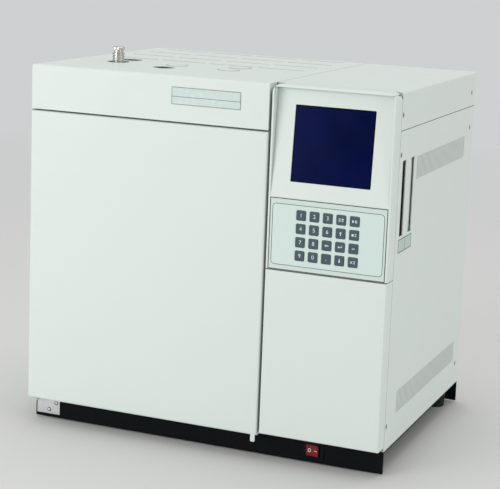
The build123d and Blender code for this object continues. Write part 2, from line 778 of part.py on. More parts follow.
# ================================================================ door
door_x = (x_left, x_door)
door_z = (z_door, z_door_top)
with BuildPart() as door_skin:
    block(door_x, (y_front, y_door_back), door_z)
    front_edges = faces().sort_by(Axis.Y)[0].edges()
    fillet(front_edges, bend)
    block(
        (door_x[0] + sheet, door_x[1] - sheet),
        (y_front + sheet, y_door_back + 1),
        (door_z[0] + sheet, door_z[1] - sheet),
        mode=Mode.SUBTRACT,
    )
    lug_x = (door_x[0] + sheet / 2, hinge_x + collar_radius + lug_wall)
    lug_y = (y_front + sheet / 2, y_door_back - oven_sheet)
    block(lug_x, lug_y, (door_z[0] + sheet / 2, door_z[0] + pin_reach + lug_floor))
    block(lug_x, lug_y, (door_z[1] - pin_reach - lug_floor, door_z[1] - sheet / 2))
    rod(pin_radius + pin_slip, hinge_x, hinge_y, (door_z[0] - 1, door_z[0] + pin_reach), mode=Mode.SUBTRACT)
    rod(pin_radius + pin_slip, hinge_x, hinge_y, (door_z[1] - pin_reach, door_z[1] + 1), mode=Mode.SUBTRACT)
    pull_x = x_door - pull_from_edge
    block((pull_x - pull_width, pull_x), (y_front, y_front + sheet), (z_door - pull_drop, z_door + bend))
    fillet(edges().filter_by(Axis.Y).group_by(Axis.Z)[0], pull_round)
save("door_skin", door_skin)

plug_x = (oven_x[0] + plug_side_gap, oven_x[1] - plug_side_gap)
plug_z = (oven_z[0] + plug_side_gap, oven_z[1] - plug_side_gap)
with BuildPart() as door_liner:
    block(
        (door_x[0] + sheet, door_x[1] - sheet),
        (y_door_back - oven_sheet, y_door_back),
        (door_z[0] + sheet, door_z[1] - sheet),
    )
    with BuildSketch(Plane.XZ.offset(-y_door_back)):
        with Locations((x_oven, z_fan)):
            RectangleRounded(plug_x[1] - plug_x[0], plug_z[1] - plug_z[0], plug_corner)
    extrude(amount=-(y_case + plug_depth - y_door_back), taper=plug_taper)
    chamfer(faces().sort_by(Axis.Y)[-1].edges(), plug_chamfer)
save("door_liner", door_liner)

with BuildPart() as door_insulation:
    block(
        (lug_x[1] + pad_from_lug, door_x[1] - sheet - slip),
        (y_front + sheet, y_door_back - oven_sheet),
        (door_z[0] + sheet + slip, door_z[1] - sheet - slip),
    )
    fillet(edges().filter_by(Axis.Y), pad_corner)
save("door_insulation", door_insulation)

with BuildPart() as door_gasket:
    gasket_frame = 2 * (gasket_width + gasket_overlap)
    gasket_outer = (oven_x[1] - oven_x[0] + gasket_frame, oven_z[1] - oven_z[0] + gasket_frame)
    with BuildSketch(Plane.XZ.offset(-y_door_back)):
        with Locations((x_oven, z_fan)):
            RectangleRounded(gasket_outer[0], gasket_outer[1], gasket_corner)
            RectangleRounded(
                gasket_outer[0] - 2 * gasket_width,
                gasket_outer[1] - 2 * gasket_width,
                gasket_inner_corner,
                mode=Mode.SUBTRACT,
            )
    extrude(amount=-(y_case - gasket_squeeze - y_door_back))
    chamfer(faces().sort_by(Axis.Y)[-1].edges(), gasket_chamfer)
save("door_gasket", door_gasket)

with BuildPart() as hinge_brackets:
    plate_x = x_left + hinge_plate_inset
    tongue_x = (x_left + sheet + slip, hinge_x + collar_radius + tongue_margin)
    tongue_y = (hinge_y - collar_radius - tongue_margin, y_case)
    for level in (0, 1):
        end = (door_z[0], door_z[1])[level]
        away = (-1, 1)[level]
        seat = end + away * slip
        tongue_near = end + away * (tongue_sheet + top_collar_extra * level + collar_height)
        tongue_far = tongue_near + away * tongue_sheet
        plate_far = tongue_near + away * hinge_plate_height
        block(
            (plate_x, plate_x + hinge_plate_width),
            (y_case - hinge_plate_sheet, y_case),
            sorted((tongue_near, plate_far)),
        )
        block(tongue_x, tongue_y, sorted((tongue_near, tongue_far)))
        rod(collar_radius, hinge_x, hinge_y, tuple(sorted((seat, tongue_near))))
        rod(pin_radius, hinge_x, hinge_y, tuple(sorted((tongue_near, end - away * (pin_reach - 1)))))
save("hinge_brackets", hinge_brackets)

# ================================================================ injector, detector, blanked ports
x_injector, y_injector = ports[0]
z_tower = z_top + tower_rise
with BuildPart() as injector:
    with BuildSketch(Plane.XY.offset(z_wool_top)):
        with Locations((x_injector, y_injector)):
            Rectangle(block_side, block_side)
        chamfer(vertices(), block_corner)
    extrude(amount=block_height)
    with BuildSketch(Plane.XZ.offset(-y_injector)):
        with BuildLine():
            Polyline(
                (x_injector, oven_z[1] - stem_below),
                (x_injector + liner_stem_radius, oven_z[1] - stem_below),
                (x_injector + liner_stem_radius, z_wool_top),
                (x_injector + tower_radius, z_wool_top + block_height - 1),
                (x_injector + tower_radius, z_tower),
                (x_injector + stub_radius, z_tower),
                (x_injector + stub_radius, z_tower + stub_rise),
                (x_injector, z_tower + stub_rise),
                close=True,
            )
        make_face()
    revolve(axis=Axis((x_injector, y_injector, 0), (0, 0, 1)))
    for groove in range(groove_count):
        with BuildSketch(Plane.XY.offset(z_tower - groove_pitch * (groove + 1))):
            with Locations((x_injector, y_injector)):
                Circle(tower_radius + 1)
                Circle(tower_radius - groove_depth, mode=Mode.SUBTRACT)
        extrude(amount=groove_width, mode=Mode.SUBTRACT)
    stub_top = z_tower + stub_rise
    rod(needle_radius, x_injector, y_injector, (stub_top - needle_length, stub_top + 1), mode=Mode.SUBTRACT)
save("injector", injector)

with BuildPart() as septum_nut:
    nut_z = z_tower + slip
    nut_top = nut_z + nut_neck_height + nut_cap_height
    rod(nut_neck_radius, x_injector, y_injector, (nut_z, nut_z + nut_neck_height))
    rod(nut_cap_radius, x_injector, y_injector, (nut_z + nut_neck_height, nut_top))
    chamfer(faces().sort_by(Axis.Z)[-1].edges(), nut_chamfer)
    rod(
        stub_radius + shaft_slip,
        x_injector,
        y_injector,
        (nut_z - 1, stub_top + slip),
        mode=Mode.SUBTRACT,
    )
    rod(nut_hole_radius, x_injector, y_injector, (nut_z, nut_top + 1), mode=Mode.SUBTRACT)
save("septum_nut", septum_nut)

x_detector, y_detector = ports[2]
with BuildPart() as detector:
    with BuildSketch(Plane.XY.offset(z_wool_top)):
        with Locations((x_detector, y_detector)):
            Rectangle(block_side, block_side)
        chamfer(vertices(), block_corner)
    extrude(amount=detector_block_height)
    rod(liner_stem_radius, x_detector, y_detector, (oven_z[1] - stem_below, z_wool_top + 1))
    rod(detector_radius, x_detector, y_detector, (z_wool_top + detector_collar, z_top - detector_below_cover))
    chamfer(faces().sort_by(Axis.Z)[-1].edges(), detector_chamfer)
    rod(
        detector_bore,
        x_detector,
        y_detector,
        (z_top - detector_below_cover - detector_bore_depth, z_top),
        mode=Mode.SUBTRACT,
    )
save("detector", detector)

with BuildPart() as port_plugs:
    plug_low = z_top - sheet - plug_flange_height
    for place in ports[3:]:
        rod(port_radius - slip, place[0], place[1], (plug_low, z_top + plug_proud))
        rod(port_radius + plug_flange, place[0], place[1], (plug_low, z_top - sheet))
save("port_plugs", port_plugs)

# ================================================================ front column
z_lower = z_case + lower_panel_lift
column_x = (x_column, x_right)
x_face = (x_column + x_right) / 2
z_lip = z_top - lip
z_recess = z_lip - recess_height
z_join = z_recess - keypad_zone
tilt = math.degrees(math.atan2(recess_depth, z_lip - z_recess))
tilt_plane = Plane(
    origin=(x_face, y_front, z_recess),
    x_dir=(1, 0, 0),
    z_dir=(0, -math.cos(math.radians(tilt)), math.sin(math.radians(tilt))),
)
recess_x = (x_column + lip, x_right - lip)
y_wall_inside = y_front + keypad_sheet + bezel_wall
tilted_wall = bezel_wall / math.cos(math.radians(tilt))
keypad_z = (z_join + seam + ledge, z_recess - seam)
z_keys = z_recess - key_matrix_drop
window_half = (
    key_columns * key_pitch_x / 2 + key_matrix_margin,
    key_rows * key_pitch_z / 2 + key_matrix_margin,
)

with BuildPart() as front_bezel:
    with BuildSketch(Plane.XZ.offset(-y_front)):
        with BuildLine():
            Polyline(
                (column_x[0], z_join + seam),
                (column_x[1], z_join + seam),
                (column_x[1], z_top),
                (column_x[0], z_top),
                close=True,
            )
        make_face()
        fillet(vertices().group_by(Axis.Y)[-1], bezel_corner)
    extrude(amount=-front_depth)
    fillet(faces().sort_by(Axis.Y)[0].edges(), bezel_round)
    with BuildSketch(Plane.YZ.offset(recess_x[0])):
        with BuildLine():
            Polyline(
                (y_front, z_recess),
                (y_front + recess_depth, z_lip),
                (y_front - 1, z_lip),
                (y_front - 1, z_recess),
                close=True,
            )
        make_face()
    extrude(amount=recess_x[1] - recess_x[0], mode=Mode.SUBTRACT)
    with BuildSketch(Plane.YZ.offset(column_x[0] + bezel_wall)):
        with BuildLine():
            Polyline(
                (y_case + 1, z_join + seam + bezel_wall),
                (y_wall_inside, z_join + seam + bezel_wall),
                (y_wall_inside, z_recess),
                (y_front + tilted_wall, z_recess),
                (y_front + recess_depth + tilted_wall, z_lip),
                (y_case + 1, z_lip),
                close=True,
            )
        make_face()
    extrude(amount=column_width - 2 * bezel_wall, mode=Mode.SUBTRACT)
    block(recess_x, (y_front - 1, y_front + keypad_sheet), keypad_z, mode=Mode.SUBTRACT)
    block(
        (x_face - window_half[0], x_face + window_half[0]),
        (y_front - 1, y_wall_inside + 1),
        (z_keys - window_half[1], z_keys + window_half[1]),
        mode=Mode.SUBTRACT,
    )
    with BuildSketch(tilt_plane.offset(1)):
        with Locations((0, display_middle)):
            RectangleRounded(display_width, display_height, display_corner)
    extrude(amount=-bezel_wall * 3, mode=Mode.SUBTRACT)
save("front_bezel", front_bezel)

with BuildPart() as display_module:
    with BuildSketch(tilt_plane.offset(-bezel_wall)):
        with Locations((0, display_middle)):
            Rectangle(display_width + 2 * module_margin, display_height + 2 * module_margin)
    extrude(amount=-module_depth)
    with BuildSketch(tilt_plane.offset(-bezel_wall)):
        with Locations((0, display_middle)):
            RectangleRounded(display_width - 2 * slip, display_height - 2 * slip, display_corner)
    extrude(amount=display_glass)
save("display_module", display_module)

with BuildPart() as keypad_panel:
    with BuildSketch(Plane.XZ.offset(-(y_front + keypad_sheet))):
        with Locations((x_face, (keypad_z[0] + keypad_z[1]) / 2)):
            Rectangle(recess_x[1] - recess_x[0] - 2 * keypad_fit, keypad_z[1] - keypad_z[0] - 2 * keypad_fit)
    extrude(amount=keypad_sheet)
    with BuildSketch(Plane.XZ.offset(-(y_front + keypad_sheet))):
        with Locations((x_face, z_keys)):
            with GridLocations(key_pitch_x, key_pitch_z, key_columns, key_rows):
                Rectangle(key_size + 2 * key_gap, key_size + 2 * key_gap)
        chamfer(vertices(), key_corner)
    extrude(amount=keypad_sheet, mode=Mode.SUBTRACT)
save("keypad_panel", keypad_panel)

y_key_back = y_wall_inside - key_travel
for row in range(key_rows):
    for column in range(key_columns):
        key_x = x_face + (column - (key_columns - 1) / 2) * key_pitch_x
        key_z = z_keys + ((key_rows - 1) / 2 - row) * key_pitch_z
        with BuildPart() as key:
            with BuildSketch(Plane.XZ.offset(-y_key_back)):
                with Locations((key_x, key_z)):
                    Rectangle(key_size, key_size)
                chamfer(vertices(), key_corner)
            extrude(amount=y_key_back - y_front + key_proud)
            chamfer(faces().sort_by(Axis.Y)[0].edges(), key_chamfer)
        save(f"key_{row + 1}_{column + 1}", key)

with BuildPart() as key_board:
    board_half = (window_half[0] + board_margin, window_half[1] + board_margin)
    block(
        (x_face - board_half[0], x_face + board_half[0]),
        (y_wall_inside, y_wall_inside + board_sheet),
        (z_keys - board_half[1], z_keys + board_half[1]),
    )
    plug_y = (y_wall_inside + board_sheet, y_wall_inside + board_sheet + board_plug[1])
    plug_z_span = (z_keys - board_plug[2] / 2, z_keys + board_plug[2] / 2)
    block((x_face - board_plug[0] / 2, x_face + board_plug[0] / 2), plug_y, plug_z_span)
save("key_board", key_board)

with BuildPart() as lower_front_panel:
    block(column_x, (y_front, y_case), (z_lower, z_join))
    fillet(faces().sort_by(Axis.Y)[0].edges(), bezel_round)
    block(
        (column_x[0] + sheet, column_x[1] - sheet),
        (y_front + sheet, y_case + 1),
        (z_lower + sheet, z_join - sheet),
        mode=Mode.SUBTRACT,
    )
save("lower_front_panel", lower_front_panel)

# ================================================================ power switch
with BuildPart() as switch_housing:
    block(
        (switch_x - switch_width / 2, switch_x + switch_width / 2),
        (y_case - switch_flange, y_case),
        (switch_z - switch_height / 2, switch_z + switch_height / 2),
    )
    fillet(edges().filter_by(Axis.Y), switch_corner)
    block(
        (switch_x - switch_half[0], switch_x + switch_half[0]),
        (y_case, y_case + switch_body_depth),
        (switch_z - switch_half[1], switch_z + switch_half[1]),
    )
    block(
        (switch_x - rocker_width / 2 - rocker_gap, switch_x + rocker_width / 2 + rocker_gap),
        (y_case - switch_flange - 1, y_case + pivot_setback + rocker_back[1] + switch_pit),
        (switch_z - rocker_height / 2 - rocker_gap, switch_z + rocker_height / 2 + rocker_gap),
        mode=Mode.SUBTRACT,
    )
    rod(
        pivot_radius + shaft_slip,
        switch_x,
        y_case + pivot_setback,
        (switch_z - switch_half[1] - 1, switch_z + switch_half[1] + 1),
        mode=Mode.SUBTRACT,
    )
    tail_y = (y_case + switch_body_depth, y_case + switch_body_depth + switch_tail[1])
    tail_z = (switch_z - switch_tail[2] / 2, switch_z + switch_tail[2] / 2)
    for index in (-1, 0, 1):
        tail_x = switch_x + index * switch_tail_pitch
        block((tail_x - switch_tail[0] / 2, tail_x + switch_tail[0] / 2), tail_y, tail_z)
save("switch_housing", switch_housing)

with BuildPart() as power_rocker:
    tip_x = rocker_width / 2 - rocker_tip_inset
    crown_y = -pivot_setback - switch_flange - rocker_crown
    tip_y = crown_y - tip_x * math.tan(math.radians(rocker_swing / 2))
    with BuildSketch(Plane.XY.offset(switch_z - rocker_height / 2)):
        with Locations(Location((switch_x, y_case + pivot_setback), -rocker_swing / 2)):
            Polygon(
                (-tip_x, tip_y),
                (0, crown_y),
                (tip_x, tip_y),
                (rocker_back[0] / 2, rocker_back[1]),
                (-rocker_back[0] / 2, rocker_back[1]),
                align=None,
            )
    extrude(amount=rocker_height)
    fillet(edges().filter_by(Axis.Z).group_by(Axis.Y)[0], rocker_round)
    rod(
        pivot_radius,
        switch_x,
        y_case + pivot_setback,
        (switch_z - switch_half[1] + pivot_end_gap, switch_z + switch_half[1] - pivot_end_gap),
    )
save("power_rocker", power_rocker)

# ================================================================ flow tubes
x_tube = x_right - sheet - tube_panel_gap - tube_radius
meter_y = (window_y[0] - meter_block_margin, window_y[1] + meter_block_margin)
low_block = (window_z[0] - meter_block_gap - meter_block_height, window_z[0] - meter_block_gap)
high_block = (window_z[1] + meter_block_gap, window_z[1] + meter_block_gap + meter_block_height)
tube_z = (low_block[1] - tube_seat, high_block[0] + tube_seat)
with BuildPart() as meter_blocks:
    for level in (low_block, high_block):
        block((x_right - sheet - meter_block_depth, x_right - sheet), meter_y, level)
    fillet(edges().filter_by(Axis.Z).group_by(Axis.X)[0], meter_block_round)
    for middle in window_y:
        rod(tube_radius + tube_fit, x_tube, middle, tube_z, mode=Mode.SUBTRACT)
save("meter_blocks", meter_blocks)

with BuildPart() as flow_tubes:
    for middle in window_y:
        rod(tube_radius, x_tube, middle, tube_z)
        rod(tube_bore, x_tube, middle, (tube_z[0] - 1, tube_z[1] + 1), mode=Mode.SUBTRACT)
save("flow_tubes", flow_tubes)

for name, middle in (("front_float", window_y[0]), ("rear_float", window_y[1])):
    with BuildPart() as meter_float:
        float_z = tube_z[0] + slip
        with Locations((x_tube, middle, float_z + float_height / 4)):
            Cone(float_tip_radius, float_radius, float_height / 2)
        rod(float_radius, x_tube, middle, (float_z + float_height / 2, float_z + float_height))
    save(name, meter_float)

# ================================================================ services
with BuildPart() as power_inlet:
    block(
        (inlet_x - inlet_width / 2, inlet_x + inlet_width / 2),
        (y_panel_out, y_panel_out + inlet_plate),
        (inlet_z - inlet_height / 2, inlet_z + inlet_height / 2),
    )
    fillet(edges().filter_by(Axis.Y), inlet_corner)
    block(
        (inlet_x - socket_width / 2, inlet_x + socket_width / 2),
        (y_panel_out - socket_depth, y_panel_out + 1),
        (inlet_z - socket_height / 2, inlet_z + socket_height / 2),
    )
    block(
        (inlet_x - socket_width / 2 + socket_wall, inlet_x + socket_width / 2 - socket_wall),
        (y_panel_out - socket_depth + socket_floor, y_panel_out + inlet_plate + 1),
        (inlet_z - socket_height / 2 + socket_wall, inlet_z + socket_height / 2 - socket_wall),
        mode=Mode.SUBTRACT,
    )
    for place, rise in contact_places:
        block(
            (inlet_x + place - contact[0] / 2, inlet_x + place + contact[0] / 2),
            (y_panel_out - socket_depth + socket_floor - 1, y_panel_out - contact_setback),
            (inlet_z + rise - contact[1] / 2, inlet_z + rise + contact[1] / 2),
        )
save("power_inlet", power_inlet)

with BuildPart() as gas_fittings:
    for place in fitting_x:
        rod(fitting_radius, place, (y_panel - fitting_inside, y_rear + rear_reach), fitting_z)
        with BuildSketch(Plane.XZ.offset(-y_panel_out)):
            with Locations((place, fitting_z)):
                RegularPolygon(fitting_hex, 6)
        extrude(amount=-fitting_body)
        with BuildSketch(Plane.XZ.offset(-(y_rear + rear_reach - fitting_cap_setback))):
            with Locations((place, fitting_z)):
                RegularPolygon(fitting_cap_hex, 6)
        extrude(amount=-fitting_cap)
        with BuildSketch(Plane.XZ.offset(-(y_panel - fitting_nut))):
            with Locations((place, fitting_z)):
                RegularPolygon(fitting_hex, 6)
        extrude(amount=-fitting_nut)
        bore_y = (y_panel - fitting_inside - 1, y_rear + rear_reach + 1)
        rod(fitting_bore, place, bore_y, fitting_z, mode=Mode.SUBTRACT)
save("gas_fittings", gas_fittings)

with BuildPart() as main_board:
    board_x = x_wall + board_wall_gap
    board_y = (y_case + board_y_span[0], y_case + board_y_span[1])
    board_z = (z_case + board_z_span[0], z_case + board_z_span[1])
    block((board_x, board_x + board_sheet), board_y, board_z)
    with BuildSketch(Plane.YZ.offset(x_wall)):
        with Locations(((board_y[0] + board_y[1]) / 2, (board_z[0] + board_z[1]) / 2)):
            spread = (board_y[1] - board_y[0] - 2 * standoff_inset, board_z[1] - board_z[0] - 2 * standoff_inset)
            with GridLocations(*spread, 2, 2):
                RegularPolygon(standoff_radius, 6)
    extrude(amount=board_wall_gap + board_sheet + standoff_proud)
    for depth, height, long, tall, thick in chips:
        block(
            (board_x + board_sheet, board_x + board_sheet + thick),
            (board_y[0] + depth - long / 2, board_y[0] + depth + long / 2),
            (board_z[0] + height - tall / 2, board_z[0] + height + tall / 2),
        )
save("main_board", main_board)

with BuildPart() as transformer:
    core_x = (x_wall + core_from_wall, x_wall + core_from_wall + core_size[0])
    core_y = (y_panel - core_from_rear - core_size[1], y_panel - core_from_rear)
    block(core_x, core_y, (z_case, z_case + core_size[2]))
    block(
        (core_x[0] + core_leg, core_x[1] - core_leg),
        (core_y[0] - coil_reach, core_y[1] + coil_reach),
        (z_case + core_yoke, z_case + core_size[2] - core_yoke),
    )
    coil_edges = edges().filter_by(Axis.Z).group_by(Axis.Y)
    fillet(coil_edges[0] + coil_edges[-1], coil_round)
    block((core_x[0] - core_foot, core_x[1] + core_foot), core_y, (z_case, z_case + core_foot_sheet))
save("transformer", transformer)
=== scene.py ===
"""Finishes, marks and small trim of a laboratory gas chromatograph, around its fixed construction."""

import logging
import math
from dataclasses import dataclass
from enum import Enum
from typing import Iterable, Sequence

import bmesh
import bpy
from mathutils import Matrix, Vector


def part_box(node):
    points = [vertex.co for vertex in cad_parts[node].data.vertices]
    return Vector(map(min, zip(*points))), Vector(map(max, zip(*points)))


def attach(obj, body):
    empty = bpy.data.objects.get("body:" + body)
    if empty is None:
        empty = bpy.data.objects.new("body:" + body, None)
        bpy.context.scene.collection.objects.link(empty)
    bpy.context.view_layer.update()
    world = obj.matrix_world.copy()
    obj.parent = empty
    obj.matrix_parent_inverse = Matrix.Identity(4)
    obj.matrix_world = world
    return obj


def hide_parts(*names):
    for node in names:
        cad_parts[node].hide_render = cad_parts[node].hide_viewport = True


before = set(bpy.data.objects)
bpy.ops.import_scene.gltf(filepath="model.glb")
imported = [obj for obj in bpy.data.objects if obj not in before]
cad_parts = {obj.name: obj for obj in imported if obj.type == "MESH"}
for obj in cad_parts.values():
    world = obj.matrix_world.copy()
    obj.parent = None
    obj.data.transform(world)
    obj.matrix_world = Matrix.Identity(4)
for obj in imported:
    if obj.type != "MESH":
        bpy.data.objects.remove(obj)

Point = tuple[float, float]
Colour = tuple[float, float, float]
Place = Sequence[float]
Socket = bpy.types.NodeSocket
Shape = bmesh.types.BMesh

MM = 0.001
INK_LIFT = 0.03 * MM
CREASE = 32.0
log = logging.getLogger("chromatograph")


# ---------------------------------------------------------------- places
class Side(Enum):
    """A side of the cabinet, as its axes to the right, up and out of the surface."""

    FRONT = ((1, 0, 0), (0, 0, 1), (0, -1, 0))
    RIGHT = ((0, 1, 0), (0, 0, 1), (1, 0, 0))
    REAR = ((-1, 0, 0), (0, 0, 1), (0, 1, 0))
    LEFT = ((0, -1, 0), (0, 0, 1), (-1, 0, 0))
    TOP = ((1, 0, 0), (0, 1, 0), (0, 0, 1))

    def seat(self, place: Place) -> Matrix:
        """Gives the transform that lays a flat shape on this side.

        Args:
            place: Where the shape's own origin goes, in metres.

        Returns:
            A matrix from the shape's right, up and out axes to the cabinet's frame.
        """
        return Matrix.Translation(Vector(place)) @ Matrix(self.value).transposed().to_4x4()


@dataclass(frozen=True)
class Datum:
    """The planes that everything on the cabinet is placed from, in metres."""

    left: float
    right: float
    front: float
    case: float
    rear: float

    @classmethod
    def read(cls) -> "Datum":
        """Reads the planes from the construction's own boxes."""
        low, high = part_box("base_frame")
        return cls(low.x, high.x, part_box("door_skin")[0].y, low.y, high.y)


# ---------------------------------------------------------------- finishes
class Graph:
    """A material's node tree, with short ways to add what its finishes are made of."""

    def __init__(self, name: str) -> None:
        """Starts a material with its Principled shader.

        Args:
            name: The material's name.
        """
        self.material = bpy.data.materials.new(name)
        self.material.use_nodes = True
        self.tree = self.material.node_tree
        self.shader = self.tree.nodes["Principled BSDF"]
        self.place = self.add("ShaderNodeTexCoord").outputs["Object"]

    def feed(self, target: Socket, value: object) -> None:
        """Links a socket to another one, or sets it to a constant.

        Args:
            target: The input socket.
            value: An output socket, a number, or a colour or vector of three numbers.
        """
        if isinstance(value, bpy.types.NodeSocket):
            self.tree.links.new(value, target)
        elif target.type == "RGBA":
            target.default_value = (*value, 1.0)
        else:
            target.default_value = value

    def add(self, kind: str, inputs: dict | None = None, **settings: object) -> bpy.types.Node:
        """Adds a node.

        Args:
            kind: The node's type name.
            inputs: Values or sockets for its inputs, by name or number.
            **settings: Values for its own properties.

        Returns:
            The new node.
        """
        node = self.tree.nodes.new(kind)
        for name, value in settings.items():
            setattr(node, name, value)
        for name, value in (inputs or {}).items():
            self.feed(node.inputs[name], value)
        return node

    def set(self, **inputs: object) -> None:
        """Sets the shader's inputs, where an underscore in a name stands for a space."""
        for name, value in inputs.items():
            self.feed(self.shader.inputs[name.replace("_", " ")], value)

    def noise(self, scale: float, detail: float = 2.0, stretch: Sequence[float] = (1, 1, 1)) -> Socket:
        """Adds noise over the object's own coordinates.

        Args:
            scale: Cells for each metre.
            detail: Octaves of finer noise.
            stretch: Factors on the three axes, above 1 where the noise is finer.

        Returns:
            The noise's value, from 0 to 1.
        """
        place = self.place
        if tuple(stretch) != (1, 1, 1):
            place = self.add("ShaderNodeMapping", {"Vector": place, "Scale": stretch}).outputs[0]
        return self.add("ShaderNodeTexNoise", {"Vector": place, "Scale": scale, "Detail": detail}).outputs[0]

    def span(self, source: Socket, low: float, high: float, start: float = 0.3, end: float = 0.7) -> Socket:
        """Spreads a value between start and end over the range from low to high."""
        limits = {"Value": source, "From Min": start, "From Max": end, "To Min": low, "To Max": high}
        return self.add("ShaderNodeMapRange", limits).outputs[0]

    def sum(self, first: object, second: object, operation: str = "ADD") -> Socket:
        """Joins two values by an operation of the Math node."""
        return self.add("ShaderNodeMath", {0: first, 1: second}, operation=operation).outputs[0]

    def times(self, first: object, second: object) -> Socket:
        """Multiplies two values."""
        return self.sum(first, second, "MULTIPLY")

    def blend(self, factor: object, first: object, second: object) -> Socket:
        """Mixes two colours by a factor from 0 to 1."""
        return self.add("ShaderNodeMix", {0: factor, 6: first, 7: second}, data_type="RGBA").outputs[2]

    def axes(self) -> tuple[Socket, Socket, Socket]:
        """Gives the object's three coordinates, one socket each."""
        outputs = self.add("ShaderNodeSeparateXYZ", {0: self.place}).outputs
        return outputs[0], outputs[1], outputs[2]

    def within(self, source: Socket, middle: float, half: float, edge: float = 0.00002) -> Socket:
        """Gives 1 where a coordinate lies within half a width of a middle, and 0 outside."""
        away = self.sum(self.sum(source, middle, "SUBTRACT"), 0.0, "ABSOLUTE")
        return self.span(away, 1.0, 0.0, half - edge, half + edge)

    def field(self, middle: Point, half: Point, edge: float = 0.00002) -> Socket:
        """Marks an upright rectangle, seen from the front.

        Args:
            middle: Its middle, to the right and up.
            half: Half its width and half its height.
            edge: How soft its border is.

        Returns:
            A mask that is 1 inside and 0 outside.
        """
        across, _, up = self.axes()
        columns = self.within(across, middle[0], half[0], edge)
        return self.times(columns, self.within(up, middle[1], half[1], edge))

    def soft_edges(self, radius: float) -> tuple[Socket, Socket]:
        """Rounds the light on sharp edges.

        Args:
            radius: How far the rounding reaches, in metres.

        Returns:
            The rounded normal, and a mask that is 1 on an edge and 0 on a flat.
        """
        rounded = self.add("ShaderNodeBevel", {"Radius": radius}, samples=4).outputs[0]
        flat = self.add("ShaderNodeNewGeometry").outputs["Normal"]
        dot = self.add("ShaderNodeVectorMath", {0: rounded, 1: flat}, operation="DOT_PRODUCT")
        return rounded, self.span(dot.outputs["Value"], 1.0, 0.0, 0.8, 0.995)

    def painted_shade_mask(self, reach: float) -> Socket:
        """Finds the seams, slots and inner corners, where less light reaches, so that shade can be painted
        there.

        Args:
            reach: How far around a point the surface is looked at, in metres.

        Returns:
            A mask that is 1 deep in a hollow and 0 on an open face.
        """
        # painted shade: ambient occlusion measures how hemmed in each point is, and the caller darkens the
        # colour there
        open_sky = self.add("ShaderNodeAmbientOcclusion", {"Distance": reach}, samples=8).outputs["AO"]
        return self.span(open_sky, 1.0, 0.0, 0.15, 0.85)

    def relief(self, height: Socket, depth: float, normal: Socket | None = None) -> None:
        """Raises the surface.

        Args:
            height: The height, from 0 to 1.
            depth: What a height of 1 stands for, in metres.
            normal: The normal to start from, or None for the surface's own.
        """
        inputs = {"Height": height, "Distance": depth, "Strength": 1.0}
        if normal is not None:
            inputs["Normal"] = normal
        self.set(Normal=self.add("ShaderNodeBump", inputs).outputs[0])


@dataclass(frozen=True)
class Finish:
    """A surface finish: its material's name, the record's slot and its own colour."""

    name: str
    slot: str
    colour: Colour
    roughness: float = 0.5

    def toned(self, factor: float, lift: float = 0.0) -> Colour:
        """Gives the finish's colour, darkened or lightened."""
        return tuple(min(1.0, value * factor + lift) for value in self.colour)

    def uneven(self, graph: Graph, source: Socket, less: float, more: float) -> Socket:
        """Gives a roughness that follows a noise, from a bit less to a bit more than the finish's own."""
        return graph.span(source, self.roughness - less, self.roughness + more)

    def material(self) -> bpy.types.Material:
        """Gives the finish's material, made the first time that it is asked for.

        Returns:
            The material, named after the finish.
        """
        name = f"{self.name}_finish"
        found = bpy.data.materials.get(name)
        if found is None:
            graph = Graph(name)
            graph.set(Base_Color=self.colour, Roughness=self.roughness)
            self.build(graph)
            found = graph.material
        return found

    def build(self, graph: Graph) -> None:
        """Adds the finish's own nodes; a plain finish has fine grain and patches of other gloss."""
        graph.set(Roughness=self.uneven(graph, graph.noise(40), 0.06, 0.06))
        graph.relief(graph.noise(1500), 0.02 * MM)


@dataclass(frozen=True)
class PowderCoat(Finish):
    """Baked powder paint: fine orange peel, soft edges, faint handling marks and painted shade in its seams.
    """

    peel: float = 0.035
    rub: float = 0.10
    rubbed: Colour = (0.80, 0.86, 0.83)
    shine: float = 0.5
    # colour of the painted shade in seams, slots and inner corners
    hollow_shade: Colour = (0.10, 0.11, 0.11)

    def build(self, graph: Graph) -> None:
        """Adds the paint's speckle, peel, rubbed edges, painted shade in the seams and patches of gloss.

        Args:
            graph: The material's graph.
        """
        rounded, edge = graph.soft_edges(1.0 * MM)
        cloud = graph.span(graph.noise(5, 3), 0.0, 1.0)
        dark = self.toned(0.965)
        speckle = graph.blend(graph.span(graph.noise(2600, 1), 0.0, 0.22), self.colour, dark)
        body = graph.blend(graph.times(cloud, 0.30), speckle, dark)
        worn = graph.times(edge, graph.span(graph.noise(90, 4), 0.0, self.rub, 0.45, 0.65))
        scuff = graph.span(graph.noise(38, 6, (1, 1, 9)), 0.0, 0.05, 0.62, 0.8)
        painted = graph.blend(graph.sum(worn, scuff), body, self.rubbed)
        # painted shade: the hollows are darkened towards the shade colour
        shade_amount = graph.times(graph.painted_shade_mask(5 * MM), 0.8)
        graph.set(Base_Color=graph.blend(shade_amount, painted, self.hollow_shade), Specular_IOR_Level=self.shine)
        gloss = self.uneven(graph, graph.noise(22, 3), 0.05, 0.05)
        graph.set(Roughness=graph.sum(gloss, graph.times(edge, 0.05)))
        graph.relief(graph.noise(650, 2), self.peel * MM, rounded)


class Grain(Enum):
    """Which way a metal's tool marks run, as stretches of their noise on the three axes."""

    ALONG_X = (0.02, 1, 1)
    ALONG_Y = (1, 0.02, 1)
    ALONG_Z = (1, 1, 0.02)
    EVERY_WAY = (1, 1, 1)


